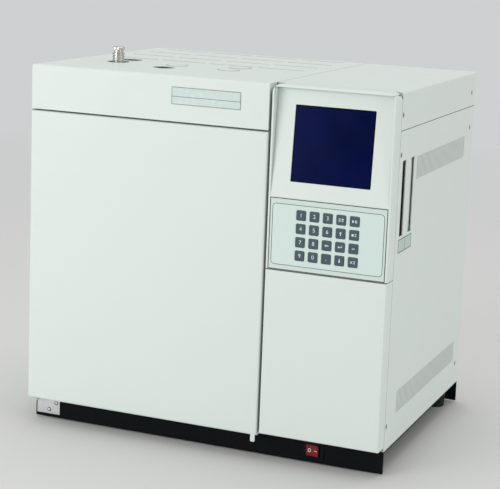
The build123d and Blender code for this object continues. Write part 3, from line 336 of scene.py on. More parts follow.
@dataclass(frozen=True)
class Metal(Finish):
    """Bare or plated metal with tool marks, handling patches and a painted highlight on its edges."""

    grain: Grain = Grain.EVERY_WAY
    marks: float = 0.012
    tint: Colour | None = None

    def build(self, graph: Graph) -> None:
        """Adds the tool marks, the patches and, where the metal was hot, its tint.

        Args:
            graph: The material's graph.
        """
        rounded, edge = graph.soft_edges(0.5 * MM)
        lines = graph.noise(1400, 3, self.grain.value)
        patches = graph.noise(30, 4)
        other = self.tint or self.toned(0.86)
        body = graph.blend(graph.span(patches, 0.0, 1.0, 0.4, 0.75), self.colour, other)
        graph.set(Metallic=1.0)
        # painted highlight: edges lightened towards white
        graph.set(Base_Color=graph.blend(graph.times(edge, 0.35), body, (0.9, 0.9, 0.9)))
        smear = graph.span(patches, -0.05, 0.07)
        gloss = graph.sum(self.uneven(graph, lines, 0.07, 0.09), smear)
        graph.set(Roughness=gloss)
        graph.relief(lines, self.marks * MM, rounded)


@dataclass(frozen=True)
class Turned(Metal):
    """Metal turned on a lathe about an upright axis."""

    axis: Point = (0.0, 0.0)

    def build(self, graph: Graph) -> None:
        """Adds the rings that the tool left around the axis.

        Args:
            graph: The material's graph.
        """
        shift = {"Vector": graph.place, "Location": (-self.axis[0], -self.axis[1], 0.0)}
        about = graph.add("ShaderNodeMapping", shift).outputs[0]
        rings = {"Vector": about, "Scale": 260.0, "Distortion": 0.6, "Detail": 1.0}
        wave = graph.add("ShaderNodeTexWave", rings, wave_type="RINGS", rings_direction="Z").outputs[1]
        steps = graph.noise(900, 2, (0.05, 0.05, 1))
        lines = graph.sum(graph.times(wave, 0.5), steps)
        rounded, edge = graph.soft_edges(0.4 * MM)
        dull = self.toned(0.8)
        body = graph.blend(graph.span(graph.noise(70, 4), 0.0, 0.8), self.colour, dull)
        # painted highlight: edges lightened towards white
        bright = graph.blend(graph.times(edge, 0.4), body, (0.92, 0.92, 0.92))
        graph.set(Metallic=1.0, Base_Color=bright)
        graph.set(Roughness=graph.span(lines, self.roughness - 0.06, self.roughness + 0.08, 0.4, 1.1))
        graph.relief(lines, self.marks * MM, rounded)


@dataclass(frozen=True)
class Moulded(Finish):
    """Moulded plastic or rubber with a spark-eroded grain, dust in its pores and a painted highlight on its
    edges.
    """

    grain: float = 0.02
    coat: float = 0.0
    shine: float = 0.5

    def build(self, graph: Graph) -> None:
        """Adds the grain, the dust and the painted highlight on the edges.

        Args:
            graph: The material's graph.
        """
        rounded, edge = graph.soft_edges(0.4 * MM)
        pores = graph.noise(1900, 2)
        pale = self.toned(1.35, 0.012)
        dust = graph.span(graph.noise(120, 5), 0.0, 0.35, 0.5, 0.75)
        # the pale tone is real dust in the pores plus a painted highlight along the edges
        body = graph.blend(graph.sum(dust, graph.times(edge, 0.4)), self.colour, pale)
        graph.set(Base_Color=body, Coat_Weight=self.coat, Coat_Roughness=0.12, Specular_IOR_Level=self.shine)
        graph.set(Roughness=self.uneven(graph, graph.noise(60, 3), 0.06, 0.08))
        graph.relief(pores, self.grain * MM, rounded)


@dataclass(frozen=True)
class Ink(Finish):
    """Screen-printed ink, a little uneven."""

    def build(self, graph: Graph) -> None:
        """Adds thin spots to the ink.

        Args:
            graph: The material's graph.
        """
        thin = self.toned(0.85, 0.02)
        graph.set(Base_Color=graph.blend(graph.span(graph.noise(1200, 3), 0.0, 0.7), self.colour, thin))
        graph.set(Roughness=self.uneven(graph, graph.noise(300), 0.08, 0.08))


@dataclass(frozen=True)
class KeypadFilm(Finish):
    """The keypad's printed film, with a second tone inside its border."""

    inner: Colour = (0.60, 0.72, 0.68)
    middle: Point = (0.0, 0.0)
    half: Point = (0.05, 0.05)

    def build(self, graph: Graph) -> None:
        """Adds the inner tone, the film's fine grain and its patches of gloss.

        Args:
            graph: The material's graph.
        """
        tone = graph.blend(graph.field(self.middle, self.half), self.colour, self.inner)
        pale = graph.blend(graph.span(graph.noise(1800, 2), 0.0, 0.10), tone, (0.86, 0.92, 0.90))
        graph.set(Base_Color=pale, Specular_IOR_Level=0.4)
        graph.set(Roughness=self.uneven(graph, graph.noise(35, 3), 0.05, 0.05))
        graph.relief(graph.noise(2200, 2), 0.012 * MM)


@dataclass(frozen=True)
class DisplayGlass(Finish):
    """A dark liquid-crystal panel behind glass: dot matrix and black rim."""

    middle: Point = (0.0, 0.0)
    half: Point = (0.05, 0.05)
    rim: float = 1.6 * MM
    dot_pitch: float = 0.42 * MM

    def build(self, graph: Graph) -> None:
        """Adds the black rim, partly the panel's frame and partly painted shade of the window's edge, the
        dots, the panel's cloudy tone and the smears on the glass.

        Args:
            graph: The material's graph.
        """
        field = graph.field(self.middle, (self.half[0] - self.rim, self.half[1] - self.rim), 0.2 * MM)
        turns = 2 * math.pi / self.dot_pitch
        across, _, up = (graph.sum(graph.times(axis, turns), 0.0, "SINE") for axis in graph.axes())
        dots = graph.times(across, up)
        cloudy = graph.blend(graph.span(graph.noise(14, 2), 0.0, 1.0), self.colour, self.toned(1.5))
        matrix = graph.blend(graph.span(dots, 0.0, 0.3, 0.2, 1.0), cloudy, (0.004, 0.012, 0.09))
        # outside the field: the near-black rim, partly frame and partly painted shade of the window's edge
        graph.set(Base_Color=graph.blend(field, (0.001, 0.002, 0.006), matrix), Specular_IOR_Level=0.03)
        graph.set(Roughness=self.uneven(graph, graph.noise(25, 5), 0.04, 0.10))


@dataclass(frozen=True)
class ClearGlass(Finish):
    """Drawn glass tube."""

    def build(self, graph: Graph) -> None:
        """Adds the faint draw lines of the tube.

        Args:
            graph: The material's graph.
        """
        graph.set(Transmission_Weight=1.0, IOR=1.47, Alpha=0.4)
        graph.set(Roughness=graph.span(graph.noise(300, 2), 0.0, self.roughness))
        graph.relief(graph.noise(500, 1, (1, 1, 0.05)), 0.006 * MM)


@dataclass(frozen=True)
class MineralWool(Finish):
    """Felted mineral wool: matted fibres and darker clumps."""

    def build(self, graph: Graph) -> None:
        """Adds the fibres, clumps and a deep soft relief.

        Args:
            graph: The material's graph.
        """
        fibres = graph.noise(900, 6, (1, 0.25, 1))
        clumps = graph.noise(70, 5)
        shade = self.toned(0.62)
        tone = graph.blend(graph.span(clumps, 0.0, 0.8), self.colour, shade)
        graph.set(Base_Color=graph.blend(graph.span(fibres, 0.0, 0.5), tone, (0.9, 0.88, 0.78)))
        graph.set(Sheen_Weight=0.3, Sheen_Roughness=0.6, Roughness=0.95)
        graph.relief(graph.sum(fibres, graph.times(clumps, 2.0)), 0.5 * MM)


@dataclass(frozen=True)
class Board(Finish):
    """A circuit board: solder mask, tracks, and dark parts above its face."""

    face: float = 0.0
    axis: int = 0
    parts: Colour = (0.015, 0.015, 0.016)

    def build(self, graph: Graph) -> None:
        """Adds the tracks, the pads and the parts' own colour.

        Args:
            graph: The material's graph.
        """
        place = graph.axes()
        above = graph.span(place[self.axis], 0.0, 1.0, self.face + 0.3 * MM, self.face + 0.5 * MM)
        bricks = {"Vector": graph.place, "Scale": 180.0, "Color1": (1, 1, 1), "Color2": (0.4, 0.4, 0.4)}
        bricks |= {"Mortar": (0, 0, 0), "Mortar Size": 0.03}
        tracks = graph.add("ShaderNodeTexBrick", bricks).outputs[1]
        light = self.toned(2.2, 0.02)
        mask = graph.blend(graph.times(tracks, 0.8), self.colour, light)
        cells = {"Vector": graph.place, "Scale": 210.0}
        pads = graph.add("ShaderNodeTexVoronoi", cells, feature="F1").outputs[0]
        tinned = graph.blend(graph.span(pads, 1.0, 0.0, 0.10, 0.14), mask, (0.55, 0.55, 0.52))
        graph.set(Base_Color=graph.blend(above, tinned, self.parts))
        graph.set(Roughness=graph.span(graph.noise(80, 3), 0.28, 0.5))
        graph.relief(graph.sum(tracks, graph.noise(900)), 0.03 * MM)


@dataclass(frozen=True)
class WoundCore(Finish):
    """A transformer: varnished iron plates, with taped windings before and behind them."""

    plates: Point = (0.0, 0.01)
    tape: Colour = (0.62, 0.42, 0.10)

    def build(self, graph: Graph) -> None:
        """Adds the edges of the plates and the overlapping tape.

        Args:
            graph: The material's graph.
        """
        _, deep, up = graph.axes()
        middle = (self.plates[0] + self.plates[1]) / 2
        core = graph.within(deep, middle, (self.plates[1] - self.plates[0]) / 2 + 0.2 * MM)
        leaves = graph.noise(2600, 1, (0.02, 1, 0.02))
        iron = graph.blend(graph.span(leaves, 0.0, 0.8), self.colour, (0.05, 0.05, 0.055))
        laps = graph.sum(graph.times(up, 500.0), 1.0, "FRACT")
        yellow = graph.blend(graph.span(laps, 0.0, 0.35, 0.0, 1.0), self.tape, (0.35, 0.2, 0.04))
        graph.set(Base_Color=graph.blend(core, yellow, iron))
        graph.set(Roughness=graph.span(graph.noise(50), 0.3, 0.55))
        graph.relief(graph.sum(leaves, laps), 0.08 * MM)


CASE_PAINT = PowderCoat("case_paint", "case_paint", (0.722, 0.788, 0.752), 0.46)
BLACK_STEEL = PowderCoat(
    "black_steel",
    "black_steel",
    (0.004, 0.005, 0.006),
    0.6,
    peel=0.05,
    rub=0.4,
    rubbed=(0.04, 0.045, 0.05),
    shine=0.08,
    # painted shade in the hollows, nearly black
    hollow_shade=(0.002, 0.002, 0.002),
)
RUBBER = Moulded("foot_rubber", "rubber", (0.012, 0.012, 0.013), 0.75, grain=0.05, shine=0.3)
ZINC = Metal("zinc_steel", "zinc_steel", (0.72, 0.73, 0.735), 0.38, Grain.ALONG_X, marks=0.004)
# flush screw heads darkened as painted shade of their countersinks
SHADE_DARKENED_SCREW = Metal("shade_darkened_screws", "zinc_steel", (0.24, 0.23, 0.225), 0.42, marks=0.004)
STAINLESS = Metal(
    "stainless", "stainless", (0.60, 0.595, 0.58), 0.34, Grain.ALONG_X, marks=0.003, tint=(0.58, 0.555, 0.50)
)
ALUMINIUM = Metal("aluminium", "aluminium", (0.76, 0.76, 0.77), 0.32, Grain.ALONG_Z)
HEATER_STEEL = Metal("heater_steel", "heater_steel", (0.20, 0.18, 0.16), 0.5, tint=(0.11, 0.08, 0.10))
BRASS = Metal("brass", "brass", (0.78, 0.60, 0.28), 0.26, Grain.ALONG_Y, tint=(0.55, 0.38, 0.18))
MOTOR_ENAMEL = PowderCoat(
    "motor_enamel",
    "motor_enamel",
    (0.04, 0.05, 0.06),
    0.4,
    rub=0.4,
    rubbed=(0.18, 0.19, 0.2),
    # painted shade in the hollows
    hollow_shade=(0.02, 0.02, 0.02),
)
WOOL = MineralWool("mineral_wool", "mineral_wool", (0.80, 0.76, 0.62))
GASKET = Moulded("door_gasket_rubber", "gasket", (0.55, 0.16, 0.09), 0.7, grain=0.04)
AMBER_TUBE = Moulded("column_tube", "column_tube", (0.42, 0.17, 0.035), 0.25, grain=0.004, coat=0.5)
SWITCH_BLACK = Moulded("switch_black", "switch_black", (0.004, 0.004, 0.005), 0.45, grain=0.008, shine=0.12)
ROCKER_RED = Moulded("rocker_red", "rocker_red", (0.20, 0.008, 0.015), 0.34, grain=0.006, coat=0.1, shine=0.3)
KEY_FACE = Moulded("key_cap", "key_cap", (0.058, 0.088, 0.108), 0.42, grain=0.01, shine=0.35)
FLOAT_BLACK = Moulded("float_black", "float_black", (0.01, 0.01, 0.011), 0.15, grain=0.002, coat=0.5)
TUBE_GLASS = ClearGlass("tube_glass", "tube_glass", (0.95, 0.98, 0.98), 0.04)
DARK_INK = Ink("dark_ink", "keypad_sheet", (0.022, 0.032, 0.032), 0.5)
GREY_INK = Ink("grey_ink", "keypad_sheet", (0.10, 0.125, 0.12), 0.5)
WHITE_INK = Ink("white_ink", "key_cap", (0.78, 0.82, 0.82), 0.5)
PLATE_FILM = Moulded("plate_film", "keypad_sheet", (0.59, 0.69, 0.665), 0.4, grain=0.006)
LABEL_FILM = Moulded("label_film", "keypad_sheet", (0.50, 0.61, 0.575), 0.45, grain=0.006)
# near-black for painted shade: seam strips, plug gaps, vent sheets and screw rings
PAINTED_SHADE_BLACK = Moulded("painted_shade_black", "rubber", (0.012, 0.013, 0.013), 0.7, grain=0.02, shine=0.15)
CHANNEL_BLACK = Moulded("channel_black", "float_black", (0.004, 0.004, 0.005), 0.6, grain=0.02, shine=0.1)
CHANNEL_GREY = Moulded("channel_grey", "aluminium", (0.88, 0.90, 0.88), 0.5, grain=0.01)


# ---------------------------------------------------------------- meshes
def spread(count: int) -> list[float]:
    """Gives angles that divide one turn evenly."""
    return [2 * math.pi * index / count for index in range(count)]


def rounded_rectangle(width: float, height: float, radius: float, steps: int = 6) -> list[Point]:
    """Gives the outline of a rectangle with round corners about its middle.

    Args:
        width: Its size to the right.
        height: Its size upwards.
        radius: The corners' radius.
        steps: Straight pieces in each corner.

    Returns:
        Its points, counterclockwise from the right-hand side.
    """
    points = []
    for quarter, (across, up) in enumerate(((1, 1), (-1, 1), (-1, -1), (1, -1))):
        for step in range(steps + 1):
            angle = math.pi / 2 * (quarter + step / steps)
            x = across * (width / 2 - radius) + radius * math.cos(angle)
            points.append((x, up * (height / 2 - radius) + radius * math.sin(angle)))
    return points


def circle(radius: float, steps: int = 64) -> list[Point]:
    """Gives the points of a circle about its middle, counterclockwise."""
    return [(radius * math.cos(angle), radius * math.sin(angle)) for angle in spread(steps)]


def lifted(outline: Sequence[Point], height: float, scale: float = 1.0) -> list[Place]:
    """Lifts an outline to a height, and scales it about its middle."""
    return [(x * scale, y * scale, height) for x, y in outline]


def loft(rows: Sequence[Sequence[Place]], closed: bool = False, capped: bool = True) -> Shape:
    """Skins rows of points, each of them a loop.

    Args:
        rows: The rows, with as many points each, or with one point for a pole.
        closed: Whether the last row joins the first one.
        capped: Whether the first and the last row are filled.

    Returns:
        The skinned mesh.
    """
    mesh = bmesh.new()
    loops = [[mesh.verts.new(point) for point in row] for row in rows]
    around = max(len(loop) for loop in loops)
    for low, high in zip(loops, loops[1:] + loops[:1] if closed else loops[1:]):
        for index in range(around):
            other = (index + 1) % around
            corners = [low[index % len(low)], low[other % len(low)]]
            corners += [high[other % len(high)], high[index % len(high)]]
            mesh.faces.new(list(dict.fromkeys(corners)))
    if capped:
        mesh.faces.new(loops[-1])
        mesh.faces.new(loops[0][::-1])
    return mesh


def flat(outline: Sequence[Point], lift: float = 0.0) -> Shape:
    """Makes one flat face that looks out of the surface it lies on.

    Args:
        outline: Its points, counterclockwise.
        lift: Its height over the surface.

    Returns:
        A mesh with that face.
    """
    mesh = bmesh.new()
    mesh.faces.new([mesh.verts.new(point) for point in lifted(outline, lift)])
    return mesh


def ring(outer: Sequence[Point], inner: Sequence[Point], lift: float = INK_LIFT) -> Shape:
    """Makes the flat band between two outlines that have as many points each."""
    return loft([lifted(outer, lift), lifted(inner, lift)], capped=False)


def band(size: Point, line: Point, radii: Point, steps: int, lift: float = INK_LIFT) -> Shape:
    """Makes the flat line inside the edge of a rectangle with round corners.

    Args:
        size: The rectangle's width and height.
        line: The line's width at the sides, and at the top and bottom.
        radii: The outer and the inner corner radius.
        steps: Straight pieces in each corner.
        lift: Its height over the surface.

    Returns:
        A flat mesh.
    """
    outer = rounded_rectangle(*size, radii[0], steps)
    return ring(outer, rounded_rectangle(size[0] - 2 * line[0], size[1] - 2 * line[1], radii[1], steps), lift)


def plate(outline: Sequence[Point], thickness: float, edge: float) -> Shape:
    """Makes a plate on the surface, with a broken upper edge.

    Args:
        outline: Its points, counterclockwise.
        thickness: How far it stands out.
        edge: The width of its chamfer.

    Returns:
        A closed mesh.
    """
    reach = max(max(abs(x), abs(y)) for x, y in outline)
    levels = ((0.0, 1.0), (thickness - edge, 1.0), (thickness, 1.0 - edge / reach))
    return loft([lifted(outline, height, scale) for height, scale in levels])


def lathe(profile: Sequence[Point], segments: int = 48, knurl: float = 0.0) -> Shape:
    """Turns a profile about the upright axis.

    Args:
        profile: Points of radius and height, from the lower middle round to the upper middle.
        segments: Faces around.
        knurl: Depth of the grooves on the points whose radius is the largest.

    Returns:
        A closed mesh.
    """
    widest = max(radius for radius, _ in profile)
    rows = []
    for radius, height in profile:
        row = []
        for index, angle in enumerate(spread(segments if radius > 0 else 1)):
            reach = radius - (knurl if index % 2 and radius > widest * 0.99 else 0.0)
            row.append((reach * math.cos(angle), reach * math.sin(angle), height))
        rows.append(row)
    return loft(rows, capped=False)


def merged(parts: Iterable[Shape]) -> Shape:
    """Joins several meshes.

    Args:
        parts: The meshes, which are freed.

    Returns:
        One mesh that holds them all.
    """
    whole = bmesh.new()
    for part in parts:
        holder = bpy.data.meshes.new("part")
        part.to_mesh(holder)
        whole.from_mesh(holder)
        bpy.data.meshes.remove(holder)
        part.free()
    return whole


def cross_head(radius: float, rise: float, sink: float) -> Shape:
    """Makes a screw head with a cross recess, on its seat.

    Args:
        radius: The head's radius.
        rise: How far its crown stands out.
        sink: How deep the recess goes.

    Returns:
        A mesh whose crown looks outward.
    """
    levels = ((-sink, 1.0), (rise * 0.35, 1.0), (rise * 0.8, 0.93), (rise, 0.78))
    around = 24
    mesh = loft([lifted(circle(radius, around), height, scale) for height, scale in levels], capped=False)
    crown = list(mesh.verts)[-around:]
    arm, waist = radius * 0.55, radius * 0.13
    cross = [(arm, -waist), (arm, waist), (waist, waist), (waist, arm), (-waist, arm), (-waist, waist)]
    cross += [(-x, -y) for x, y in cross]
    upper = [mesh.verts.new(point) for point in lifted(cross, rise)]
    lower = [mesh.verts.new(point) for point in lifted(cross, rise - sink, 0.6)]
    for index in range(len(cross)):
        other = (index + 1) % len(cross)
        mesh.faces.new((upper[index], lower[index], lower[other], upper[other]))
    mesh.faces.new(lower)
    rim = [mesh.edges.get(pair) for row in (crown, upper) for pair in zip(row, row[1:] + row[:1])]
    bmesh.ops.triangle_fill(mesh, use_beauty=True, edges=rim)
    bmesh.ops.recalc_face_normals(mesh, faces=mesh.faces)
    return mesh


def hex_nut(across: float, height: float, bore: float) -> Shape:
    """Makes a hexagonal nut with a round chamfer on both ends.

    Args:
        across: Its width across the flats.
        height: Its height.
        bore: Its hole's radius.

    Returns:
        A closed mesh that stands on its seat.
    """
    around = 36
    outline = []
    for angle in spread(around):
        side = (angle + math.pi / 6) % (math.pi / 3) - math.pi / 6
        reach = min(across / 2 / math.cos(side), across / 2 * 1.12)
        outline.append((reach * math.cos(angle), reach * math.sin(angle)))
    levels = ((0.0, 0.9), (0.12, 1.0), (0.88, 1.0), (1.0, 0.9))
    rows = [lifted(outline, height * share, scale) for share, scale in levels]
    rows += [lifted(circle(bore, around), level) for level in (height, 0.0)]
    mesh = loft(rows, closed=True, capped=False)
    bmesh.ops.recalc_face_normals(mesh, faces=mesh.faces)
    return mesh


def surface(name: str, shape: Shape, crease: float | None = None) -> bpy.types.Mesh:
    """Ends the work on a mesh, so that objects can use it.

    Args:
        name: Its name.
        shape: The mesh, which is freed.
        crease: The angle in degrees from which its edges stay sharp, or None where every face is flat.

    Returns:
        The finished mesh.
    """
    made = bpy.data.meshes.new(name)
    shape.to_mesh(made)
    shape.free()
    if crease is not None:
        made.polygons.foreach_set("use_smooth", [True] * len(made.polygons))
        made.set_sharp_from_angle(angle=math.radians(crease))
    return made


def linked(name: str, data: bpy.types.ID) -> bpy.types.Object:
    """Puts an object into the scene.

    Args:
        name: Its name.
        data: The mesh, curve, camera or lamp that it holds.

    Returns:
        The new object.
    """
    item = bpy.data.objects.new(name, data)
    bpy.context.scene.collection.objects.link(item)
    return item


def evaluated(curve: bpy.types.Curve) -> bpy.types.Mesh:
    """Turns a curve into a mesh.

    Args:
        curve: The curve or the text, which is removed.

    Returns:
        The mesh of its surface.
    """
    holder = linked("holder", curve)
    bpy.context.view_layer.update()
    shape = bpy.data.meshes.new_from_object(holder.evaluated_get(bpy.context.evaluated_depsgraph_get()))
    bpy.data.objects.remove(holder)
    bpy.data.curves.remove(curve)
    return shape


def figure(text: str, size: float) -> Shape:
    """Makes a flat figure or digit about its own middle.

    Args:
        text: The figure.
        size: Its height.

    Returns:
        A flat mesh that looks out of its surface.
    """
    curve = bpy.data.curves.new("figure", "FONT")
    curve.body = text
    curve.size = size * 1.4
    curve.align_x = "CENTER"
    curve.align_y = "CENTER"
    shape = evaluated(curve)
    mesh = bmesh.new()
    mesh.from_mesh(shape)
    bpy.data.meshes.remove(shape)
    return mesh


def tube(name: str, points: Sequence[Vector], radius: float) -> bpy.types.Object:
    """Makes a smooth round tube through the given control points.

    Args:
        name: The object's name.
        points: Control points, in metres.
        radius: The tube's radius.

    Returns:
        The tube as a mesh object, linked to the scene.
    """
    curve = bpy.data.curves.new(name, "CURVE")
    curve.dimensions = "3D"
    curve.bevel_depth = radius
    curve.bevel_resolution = 4
    curve.use_fill_caps = True
    spline = curve.splines.new("NURBS")
    spline.points.add(len(points) - 1)
    for target, point in zip(spline.points, points):
        target.co = (*point, 1.0)
    spline.order_u = 3
    spline.use_endpoint_u = True
    shape = evaluated(curve)
    shape.name = name
    return linked(name, shape)


def stand(node: str) -> tuple[Vector, Vector, Vector]:
    """Gives the lowest corner, the highest corner and the middle of a fixed node's box."""
    low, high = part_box(node)
    return low, high, (low + high) / 2


# ---------------------------------------------------------------- sub-assemblies
class Assembly:
    """What every sub-assembly does: dress fixed nodes, and add pieces that ride on a body."""

    body = "case"

    def dress(self, finish: Finish, *nodes: str) -> None:
        """Gives fixed nodes a finish.

        Args:
            finish: The finish.
            *nodes: The nodes' names.
        """
        for name in nodes:
            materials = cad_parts[name].data.materials
            materials.clear()
            materials.append(finish.material())
            log.info("dressed %s with %s", name, finish.name)

    def mount(self, item: bpy.types.Object, finish: Finish, body: str | None = None) -> bpy.types.Object:
        """Finishes an object that is in place, and lets it ride on a body.

        Args:
            item: The object.
            finish: Its finish.
            body: The body it rides on, or None for the sub-assembly's own.

        Returns:
            The same object.
        """
        if not item.data.materials:
            item.data.materials.append(finish.material())
        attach(item, body or self.body)
        log.info("added %s to %s", item.name, body or self.body)
        return item

    def piece(
        self,
        name: str,
        shape: Shape | bpy.types.Mesh,
        seat: Matrix,
        finish: Finish,
        body: str | None = None,
        replaces: Sequence[str] = (),
    ) -> bpy.types.Object:
        """Adds a piece.

        Args:
            name: The piece's name.
            shape: Its mesh, or one that other pieces share.
            seat: Where it stands.
            finish: Its finish.
            body: The body it rides on, or None for the sub-assembly's own.
            replaces: Fixed nodes that it stands for.

        Returns:
            The new object.
        """
        data = surface(name, shape, CREASE) if isinstance(shape, Shape) else shape
        item = linked(name, data)
        item.matrix_world = seat
        if replaces:
            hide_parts(*replaces)
        return self.mount(item, finish, body)


@dataclass
class Cabinet(Assembly):
    """Covers, panels, base and feet, with their screws, the bare nameplate and the side label."""

    datum: Datum
    sheet: float = 1.5 * MM
    line: float = 0.7 * MM
    nameplate: Point = (104.8 * MM, 24.6 * MM)
    nameplate_place: Point = (0.9 * MM, 506.4 * MM)
    nameplate_divider: float = -1.1 * MM
    nameplate_sheet: float = 0.35 * MM
    nameplate_inset: float = 0.25 * MM
    label: Point = (60.0 * MM, 19.3 * MM)
    label_place: Point = (45.0 * MM, 321.7 * MM)
    label_sheet: float = 0.03 * MM
    label_ink: float = 0.048 * MM
    screw_inset: Point = (7.5 * MM, 20.0 * MM)
    screw_heights: tuple[float, ...] = (503.0 * MM, 448.7 * MM, 69.0 * MM)
    screw_radius: float = 3.2 * MM
    screw_sink: float = 1.1 * MM
    rear_heights: tuple[float, ...] = (62 * MM, 206 * MM, 350 * MM, 500 * MM)
    rear_inset: float = 6.0 * MM
    rear_crown: Point = (1.4 * MM, 0.9 * MM)
    cover_bend: float = 3.0 * MM
    cover_play: float = 0.1 * MM
    plugs: tuple[Point, ...] = ((163.0 * MM, 115.0 * MM), (250.5 * MM, 106.0 * MM), (250.5 * MM, 149.0 * MM))
    plug_radius: float = 16.2 * MM
    plug_line: float = 0.5 * MM
    # the dark sheets under the vents, painted shade
    vent_shade_rows: int = 4
    vent_shade_inset: Point = (22.0 * MM, 26.0 * MM)
    vent_shade_first: float = 178.0 * MM
    vent_shade_last: float = 24.0 * MM
    vent_shade_width: float = 9.0 * MM
    vent_shade_thickness: float = 0.3 * MM
    strip_sink: float = 0.75 * MM
    strip_sheet: float = 0.5 * MM
    strip_play: float = 0.04 * MM
    strip_short: float = 6.0 * MM

    def build(self) -> None:
        """Dresses the covers and adds everything that is fixed to them."""
        self.dress(CASE_PAINT, "left_side_panel", "right_side_panel", "rear_panel")
        self.dress(CASE_PAINT, "left_top_cover", "right_top_cover", "port_plugs")
        self.dress(BLACK_STEEL, "base_frame")
        self.dress(RUBBER, "rubber_feet")
        self.dress(ZINC, "partition_wall")
        self.add_nameplate()
        self.add_label()
        self.add_screws()
        self.add_cover_end()
        self.add_plug_gap_shade()
        self.add_vent_shade_sheets()
        self.add_seam_shade_strips()

    def add_nameplate(self) -> None:
        """Adds the bare plate on the brow, with its printed frame and divider."""
        seat = Side.FRONT.seat((self.nameplate_place[0], self.datum.front, self.nameplate_place[1]))
        outline = rounded_rectangle(*self.nameplate, 0.8 * MM, 3)
        self.piece("nameplate", plate(outline, self.nameplate_sheet, 0.08 * MM), seat, PLATE_FILM)
        lift = self.nameplate_sheet + INK_LIFT
        width, height = (side - 2 * self.nameplate_inset for side in self.nameplate)
        border = band((width, height), (self.line, self.line), (0.6 * MM, 0.2 * MM), 3, lift)
        divider = rounded_rectangle(width, self.line, self.line * 0.1, 1)
        divider = [(x, y + self.nameplate_divider) for x, y in divider]
        self.piece("nameplate_lines", merged([border, flat(divider, lift)]), seat, GREY_INK)

    def add_label(self) -> None:
        """Adds the bare label under the flow meter windows."""
        place = (self.datum.right, self.datum.case + self.label_place[0], self.label_place[1])
        seat = Side.RIGHT.seat(place)
        outline = rounded_rectangle(*self.label, 0.5 * MM, 2)
        self.piece("side_label", plate(outline, self.label_sheet, 0.01 * MM), seat, LABEL_FILM)
        border = band(self.label, (2 * self.line, 1.6 * self.line), (0.5 * MM, 0.2 * MM), 2, self.label_ink)
        divider = rounded_rectangle(1.6 * self.line, self.label[1] - 3.6 * self.line, self.line * 0.1, 1)
        self.piece("side_label_lines", merged([border, flat(divider, self.label_ink)]), seat, DARK_INK)

    def add_screws(self) -> None:
        """Adds the flush screws of both sides and the raised ones of the rear edge."""
        # the flush heads take the darkened finish: painted shade of their countersinks
        flush = surface("flush_screw", cross_head(self.screw_radius, 0.0, self.screw_sink))
        depths = (self.datum.case + self.screw_inset[0], self.datum.rear - self.screw_inset[1])
        places = [(depth, height) for height in self.screw_heights for depth in depths]
        for index, (depth, height) in enumerate(places):
            for side, x in ((Side.RIGHT, self.datum.right), (Side.LEFT, self.datum.left)):
                seat = side.seat((x, depth, height)) @ Matrix.Rotation(0.4 + 0.65 * index, 4, "Z")
                self.piece(f"{side.name.lower()}_screw_{index + 1}", flush, seat, SHADE_DARKENED_SCREW)
        raised = surface("raised_screw", cross_head(self.screw_radius, *self.rear_crown))
        edges = {"left": self.datum.left + self.rear_inset, "right": self.datum.right - self.rear_inset}
        for index, height in enumerate(self.rear_heights):
            for name, x in edges.items():
                seat = Side.REAR.seat((x, self.datum.rear, height)) @ Matrix.Rotation(0.7 * index, 4, "Z")
                self.piece(f"rear_{name}_screw_{index + 1}", raised, seat, ZINC)

    def add_cover_end(self) -> None:
        """Closes the right cover's front end behind the bezel with its folded end plate."""
        low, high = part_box("right_top_cover")
        width, height = high.x - low.x - self.sheet, high.z - low.z - self.sheet
        side, head = width / 2, height / 2
        reach = self.cover_bend - self.sheet * 0.5
        bend = [(side - reach * (1 - math.cos(a)), head - reach * (1 - math.sin(a))) for a in (0.4, 0.8, 1.2)]
        outline = [(side, -head), (side, head - reach), *bend, (side - reach, head)]
        outline += [(-side, head), (-side, -head)]
        seat = Side.FRONT.seat((low.x + side, low.y + self.sheet + self.cover_play, low.z + head))
        self.piece("cover_end", plate(outline, self.sheet, 0.1 * MM), seat, CASE_PAINT)

    def add_plug_gap_shade(self) -> None:
        """Adds dark rings round the three blanked ports, painted shade of the gaps round their plugs."""
        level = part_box("port_plugs")[1].z
        for index, (across, depth) in enumerate(self.plugs):
            seat = Side.TOP.seat((self.datum.left + across, self.datum.case + depth, level))
            # painted shade of the gap round the plug
            gap_shade_ring = ring(circle(self.plug_radius), circle(self.plug_radius - self.plug_line))
            self.piece(f"plug_seal_{index + 1}", gap_shade_ring, seat, PAINTED_SHADE_BLACK)

    def add_vent_shade_sheets(self) -> None:
        """Adds dark sheets under the left cover's slots, painted shade seen through the vents."""
        low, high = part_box("left_top_cover")
        width = high.x - low.x - sum(self.vent_shade_inset)
        middle = low.x + self.vent_shade_inset[0] + width / 2
        level = high.z - self.sheet - self.vent_shade_thickness - self.cover_play
        first, last = self.datum.case + self.vent_shade_first, self.datum.rear - self.vent_shade_last
        outline = rounded_rectangle(width, self.vent_shade_width, 1.0 * MM, 2)
        for index in range(self.vent_shade_rows):
            seat = Side.TOP.seat((middle, first + (last - first) * index / (self.vent_shade_rows - 1), level))
            # painted shade: a dark sheet seen through the slots
            shade_plate = plate(outline, self.vent_shade_thickness, 0.05 * MM)
            self.piece(f"dust_screen_{index + 1}", shade_plate, seat, PAINTED_SHADE_BLACK)

    def add_seam_shade_strips(self) -> None:
        """Lays dark strips in the right side's two open seams, a little below the paint, as painted shade of
        the gaps.
        """
        cover_low, cover_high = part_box("right_top_cover")
        panel_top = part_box("right_side_panel")[1].z
        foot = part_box("lower_front_panel")[0].z
        bezel_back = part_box("front_bezel")[1].y
        strips = {
            "cover_seam_shade": (cover_low.y, panel_top, cover_high.y, cover_low.z),
            "bezel_seam_shade": (bezel_back, foot, cover_low.y, cover_high.z - self.strip_short),
        }
